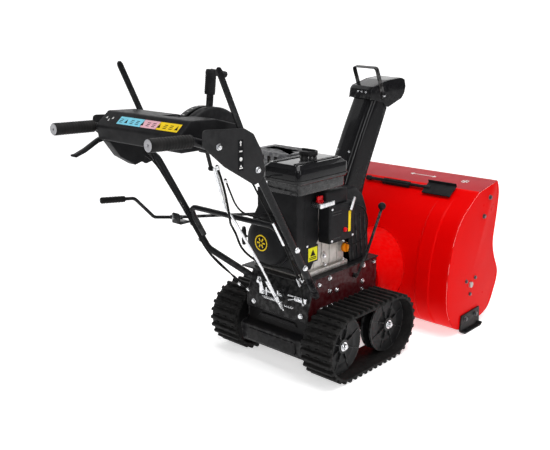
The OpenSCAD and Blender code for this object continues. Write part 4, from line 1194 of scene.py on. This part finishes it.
# ---- cables ------------------------------------------------------------------------------
CLUTCH = [(218, 548, 905), (216, 534, 862), (222, 514, 818), (228, 498, 796), (228, 470, 752),
          (228, 416, 667), (228, 339, 540), (222, 290, 452), (206, 250, 400), (178, 205, 340),
          (158, 175, 290)]
STEER = [(206, 706, 905), (204, 650, 880), (208, 560, 838), (216, 500, 786), (218, 416, 658),
         (218, 339, 530), (211, 290, 443), (188, 250, 384), (140, 205, 326), (110, 175, 280)]
THROTTLE = [(-106, 530, 840), (-106, 504, 770), (-100, 482, 706), (-86, 460, 654),
            (-40, 412, 618), (-8, 372, 590), (-2, 350, 560), (-6, 330, 512), (-28, 310, 478),
            (-61, 285, 454), (-104, 265, 444), (-143, 242, 440), (-150, 206, 414),
            (-148, 178, 384)]
CHOKE = [(-136, 524, 800), (-110, 476, 742), (-86, 434, 698), (-80, 404, 668), (-92, 384, 652),
         (-122, 362, 642), (-144, 334, 618), (-160, 310, 586), (-165, 290, 548),
         (-170, 270, 509), (-172, 246, 468), (-168, 206, 420), (-160, 182, 380)]
LOOP = [(-156, -91, 612), (-164, -120, 606), (-170, -150, 590), (-171, -176, 556),
        (-171, -180, 510), (-170, -156, 474), (-169, -112, 461), (-166, -66, 468),
        (-158, -40, 490)]
first = {"handle": True, "engine": True}
for name, route, r, group in (
        ("clutch_cable_left", CLUTCH, 3, "handle"),
        ("clutch_cable_right", both(CLUTCH, -1), 3, "handle"),
        ("steer_cable", STEER, 3, "handle"), ("throttle_cable", THROTTLE, 4, "engine"),
        ("choke_cable", CHOKE, 3, "engine"), ("breather_loop", LOOP, 2.4, "engine")):
    path = curve(route, 10)
    c = Part(name, "machine", "cable_black",
             replaces=(group + "_cables") if first[group] else ())
    first[group] = False
    c.tube(path, r, 12)
    o = c.done()
    ends = Part(name + "_ends", "machine", "zinc")
    for i, j in ((0, 1), (-1, -2)):
        a, b = V(path[i]), V(path[j])
        d = (b - a).normalized()
        ends.rod(a + d * 1, a + d * 15, r + 1.5, 20)
        ends.rod(a + d * 6, a + d * 9, r + 3, 6)
    ends.done()

p = Part("cable_sleeves", "machine", "zinc")
for a, b, r in (((-228, 408, 654), (-228, 356, 568), 4.4), ((-214, 272, 427), (-203, 246, 394), 5),
                ((228, 408, 654), (228, 372, 594), 4.4)):
    p.rod(a, b, r, 20)
p.done()

# ---- chute -------------------------------------------------------------------------------
YAW = Matrix.Translation((112, -346, 446)) @ Matrix.Rotation(radians(-16), 4, "Z")
lift = [8, 30, 60, 100, 140, 180, 220, 260, 300, 340, 380, 420, 450, 474, 500, 530, 554]


def back_y(z):
    steps = ((7.9, 58), (200, 0), (400, -76), (554, -142))
    for (z0, y0), (z1, y1) in zip(steps, steps[1:]):
        if z <= z1:
            return y0 + (y1 - y0) * (z - z0) / (z1 - z0)
    return -142


def lip_y(z):
    steps = ((7.9, -56), (200, -100), (400, -172), (474, -198))
    for (z0, y0), (z1, y1) in zip(steps, steps[1:]):
        if z <= z1:
            return y0 + (y1 - y0) * (z - z0) / (z1 - z0)
    return -198 + (z - 474) / 80 * 56


def channel(z, out):
    """Points of the U-shaped channel at height z, its wall moved out by out."""
    yb, yf = back_y(z) + out, lip_y(z)
    w = 65 + out
    r = 26 + out
    pts = [(-w, yf)]
    pts += [(-w, yf + (yb - r - yf) * k / 4) for k in range(1, 4)]
    pts += [(-w + r + r * cos(radians(180 - 90 * k / 7)), yb - r + r * sin(radians(180 - 90 * k / 7)))
            for k in range(8)]
    pts += [(-w + r + (2 * w - 2 * r) * k / 4, yb) for k in range(1, 4)]
    pts += [(w - r + r * cos(radians(90 - 90 * k / 7)), yb - r + r * sin(radians(90 - 90 * k / 7)))
            for k in range(8)]
    pts += [(w, yb - r + (yf - yb + r) * k / 4) for k in range(1, 4)] + [(w, yf)]
    return [YAW @ V((x, y, z)) for x, y in pts]


p = Part("chute_channel", "chute", "gloss_black", replaces="chute", angle=42)
inner, outer = [channel(z, -0.2) for z in lift], [channel(z, 2.8) for z in lift]
n = len(inner[0])
v = [q for row in outer for q in row] + [q for row in inner for q in row]
m = len(lift) * n
f = []
for i in range(len(lift) - 1):
    for k in range(n - 1):
        a = i * n + k
        f += [(a, a + 1, a + n + 1, a + n), (m + a, m + a + n, m + a + n + 1, m + a + 1)]
    for k in (0, n - 1):
        a = i * n + k
        f.append((a, a + n, m + a + n, m + a))
for i in (0, len(lift) - 1):
    for k in range(n - 1):
        a = i * n + k
        f.append((a, m + a, m + a + 1, a + 1))
p.add(v, f)
for s in (1, -1):
    flange = [YAW @ V((s * 66.5, lip_y(z) + 1, z)) for z in lift[1:14]]
    p.tube(flange, 3.2, 10)
p.lathe([(57, 0), (82, 0), (84, 1.2), (84, 6.8), (82, 8), (70, 8), (64, 14), (61, 24), (58, 24),
         (57, 8), (57, 0)], (0, 0, 0), (0, 0, 1), n=96, at=YAW)
for a in range(0, 360, 10):
    at = YAW @ Matrix.Rotation(radians(a), 4, "Z")
    p.box((76, -2.4, 7.6), (83.4, 2.4, 11), 0.9, at=at)
for s in (1, -1):
    a, b = sorted((s * 67, s * 83))
    p.rod(YAW @ V((a, -170, 534)), YAW @ V((b, -170, 534)), 5)
    a, b = sorted((s * 80, s * 84))
    p.rod(YAW @ V((a, -170, 534)), YAW @ V((b, -170, 534)), 9)
p.done()
p = Part("chute_bolts", "chute", "zinc")
turn = YAW.to_3x3()
for x in (-34, 0, 34):
    y = back_y(536) + 2.9
    p.bolt(YAW @ V((x, y, 536)), turn @ V((0, 1, 0.42)), 6)
for z in (90, 300):
    for x in (-40, 40):
        p.bolt(YAW @ V((x, back_y(z) + 2.8, z)), turn @ V((0, 1, 0.3)), 5)
p.done()
p = skin("chute_collar", "black_steel", 1.5, 3)
p.done()

# ---- hood over the chute -----------------------------------------------------------------
HOOD = [(-111, 512), (-116, 548), (-126, 560), (-200, 584), (-268, 592), (-286, 584),
        (-292, 556), (-287, 530), (-272, 508), (-205, 476), (-186, 478), (-180, 494)]
p = Part("deflector_hood", "deflector", "gloss_black", replaces="deflector", angle=36)
roofline = fillet(flat2(HOOD[:7]), 9, 6)
top = [(q.x, q.y) for q in roofline]
xs2 = [-72.4, -71.6, -69, -60, -30, 0, 30, 60, 69, 71.6, 72.4]
rows = [[(x, y, z - (0 if abs(x) < 68 else (abs(x) - 68) * 0.8)) for y, z in top] for x in xs2]
q = scratch().sheet(rows, 3)
bmesh.ops.transform(q.bm, matrix=YAW, verts=q.bm.verts)
p.take(q.bm)
for s in (1, -1):
    lo, hi = sorted((s * 70, s * 72.5))
    outl = [(w.x, w.y) for w in fillet(flat2([HOOD[-1]] + HOOD + [HOOD[0]]), 10, 4)][1:-1]
    cheekp = scratch().prism(outl, lo, hi, "x", 0.7, 2, edge_angle=50)
    cut(cheekp, scratch().rod((-100, -170, 534), (100, -170, 534), 5.1, 24))
    bmesh.ops.transform(cheekp.bm, matrix=YAW, verts=cheekp.bm.verts)
    p.take(cheekp.bm)
p.done()
p = Part("deflector_loop_bar", "deflector", ["black_steel", "zinc"])
loop = [(-74.6, -177, 514), (-74.6, -135, 636), (74.6, -135, 636), (74.6, -177, 514)]
strap(p, [YAW @ q for q in fillet(loop, 14, 6)], turn @ V((0, 0.947, -0.322)), 18, 3.7,
      bevel=0.8)
for s in (1, -1):
    p.bolt(YAW @ V((s * 76.5, -176, 524)), turn @ V((s, 0, 0)), 6, 1)
for x in (-40, -14, 12):
    p.bolt(YAW @ V((x, -112.6, 538)), turn @ V((0, 1, 0.14)), 4, 1)
p.done()

# ---- clean-out tool ----------------------------------------------------------------------
SLOPE = Matrix.Translation((0, -660, 569.2)) @ Matrix.Rotation(radians(-32.3), 4, "X")
p = Part("shovel", "cleanout_tool", "black_plastic", replaces="cleanout_tool")
p.tube([SLOPE @ V((x, 0, 16)) for x in (-130, -60, 0, 60, 120, 168)], 6.9, 20)
p.box((-262, -34, 13), (-128, 34, 18), 1.6, 3, at=SLOPE)
p.box((-262, -34, 13), (-128, -30, 29), 1.5, 3, at=SLOPE)
p.prism([(-150, -9), (-122, -7), (-122, 7), (-150, 9)], 17, 22, "z", 1.6, 2, at=SLOPE)
p.rod(SLOPE @ V((150, 0, 16)), SLOPE @ V((176, 0, 16)), 10.9, 24, 0, 3)
p.done()
skin("tool_clips", "black_plastic", 1.4, 3).done()

# ---- camera, floor and light -------------------------------------------------------------
th, ph, roll = radians(42.673), radians(-15.244), -radians(0.138)
fwd = V((sin(th) * cos(ph), -cos(th) * cos(ph), sin(ph)))
right = V((-cos(th), -sin(th), 0))
up = right.cross(fwd)
R_ = cos(roll) * right + sin(roll) * up
U_ = -sin(roll) * right + cos(roll) * up
cam = bpy.data.objects.new("camera", bpy.data.cameras.new("camera"))
scene.collection.objects.link(cam)
cam.matrix_world = (Matrix.Translation((-1.823, 2.128, 1.286))
                    @ Matrix((R_, U_, -fwd)).transposed().to_4x4())
cam.data.lens = 50.37
cam.data.sensor_width = 36
cam.data.clip_start = 0.05
scene.camera = cam
scene.view_settings.view_transform = "Standard"

away = V((sin(th), -cos(th), 0))
side = V((cos(th), sin(th), 0))
sweep = [(-7, 0), (3.2, 0)] + [(3.2 + 1.6 * sin(radians(a)), 1.6 - 1.6 * cos(radians(a)))
                               for a in range(10, 91, 10)] + [(4.8, 6)]
pts = [away * d + side * w + V((0, 0, z)) for d, z in sweep for w in (-9, 9)]
floor_m = bpy.data.meshes.new("floor")
floor_m.from_pydata(pts, [], [(2 * i, 2 * i + 1, 2 * i + 3, 2 * i + 2)
                              for i in range(len(sweep) - 1)])
floor_m.polygons.foreach_set("use_smooth", [True] * len(floor_m.polygons))
floor = bpy.data.objects.new("floor", floor_m)
paper = material("floor_white", (0.88, 0.88, 0.88), (0.86, 0.86, 0.86), rough=0.75, span=0.05,
                 patch=1.5, grain=90, bump=0.02)
glow = paper.node_tree.nodes["Principled BSDF"]
glow.inputs["Emission Color"].default_value = (1, 1, 1, 1)
glow.inputs["Emission Strength"].default_value = 0.55
floor_m.materials.append(paper)
scene.collection.objects.link(floor)

# pale wall all round, seen only directly, so that it neither lights nor reflects in the machine
ring = [V((6.6 * cos(2 * pi * k / 64), 6.6 * sin(2 * pi * k / 64), z))
        for k in range(64) for z in (-0.1, 9)]
wall_m = bpy.data.meshes.new("backdrop")
wall_m.from_pydata(ring, [], [(2 * k, 2 * k + 1, (2 * k + 3) % 128, (2 * k + 2) % 128)
                              for k in range(64)])
wall_paint = material("backdrop_white", (0.88, 0.88, 0.88), rough=0.75, bump=0.02)
wall_glow = wall_paint.node_tree.nodes["Principled BSDF"]
wall_glow.inputs["Emission Color"].default_value = (1, 1, 1, 1)
wall_glow.inputs["Emission Strength"].default_value = 0.62
wall_m.materials.append(wall_paint)
wall = bpy.data.objects.new("backdrop", wall_m)
wall.visible_diffuse = False
wall.visible_glossy = False
wall.visible_shadow = False
scene.collection.objects.link(wall)


def softbox(name, at, aim, w, h, power, colour=(1, 1, 1)):
    d = bpy.data.lights.new(name, "AREA")
    d.shape, d.size, d.size_y, d.energy, d.color = "RECTANGLE", w, h, power, colour
    o = bpy.data.objects.new(name, d)
    scene.collection.objects.link(o)
    o.matrix_world = (Matrix.Translation(at) @ basis(V(at) - V(aim)))


softbox("top", (-0.3, 0.0, 3.6), (0, 0, 0.4), 2.4, 2.4, 56)
softbox("near_strip", (-2.3, 2.5, 2.0), (0, 0, 0.6), 0.35, 1.8, 24)
softbox("near_side", (-3.2, 0.0, 1.8), (0, -0.1, 0.5), 0.5, 2.2, 20)
softbox("behind_operator", (1.2, 3.3, 1.9), (0, 0, 0.5), 0.6, 2.2, 16)
softbox("paper_wash", (-1.5, 0.0, 4.2), (2.8, -3.2, 1.6), 2.0, 2.0, 70)
world = bpy.data.worlds.new("studio")
scene.world = world
world.use_nodes = True
world.node_tree.nodes["Background"].inputs["Color"].default_value = (1, 1, 1, 1)
world.node_tree.nodes["Background"].inputs["Strength"].default_value = 0.1
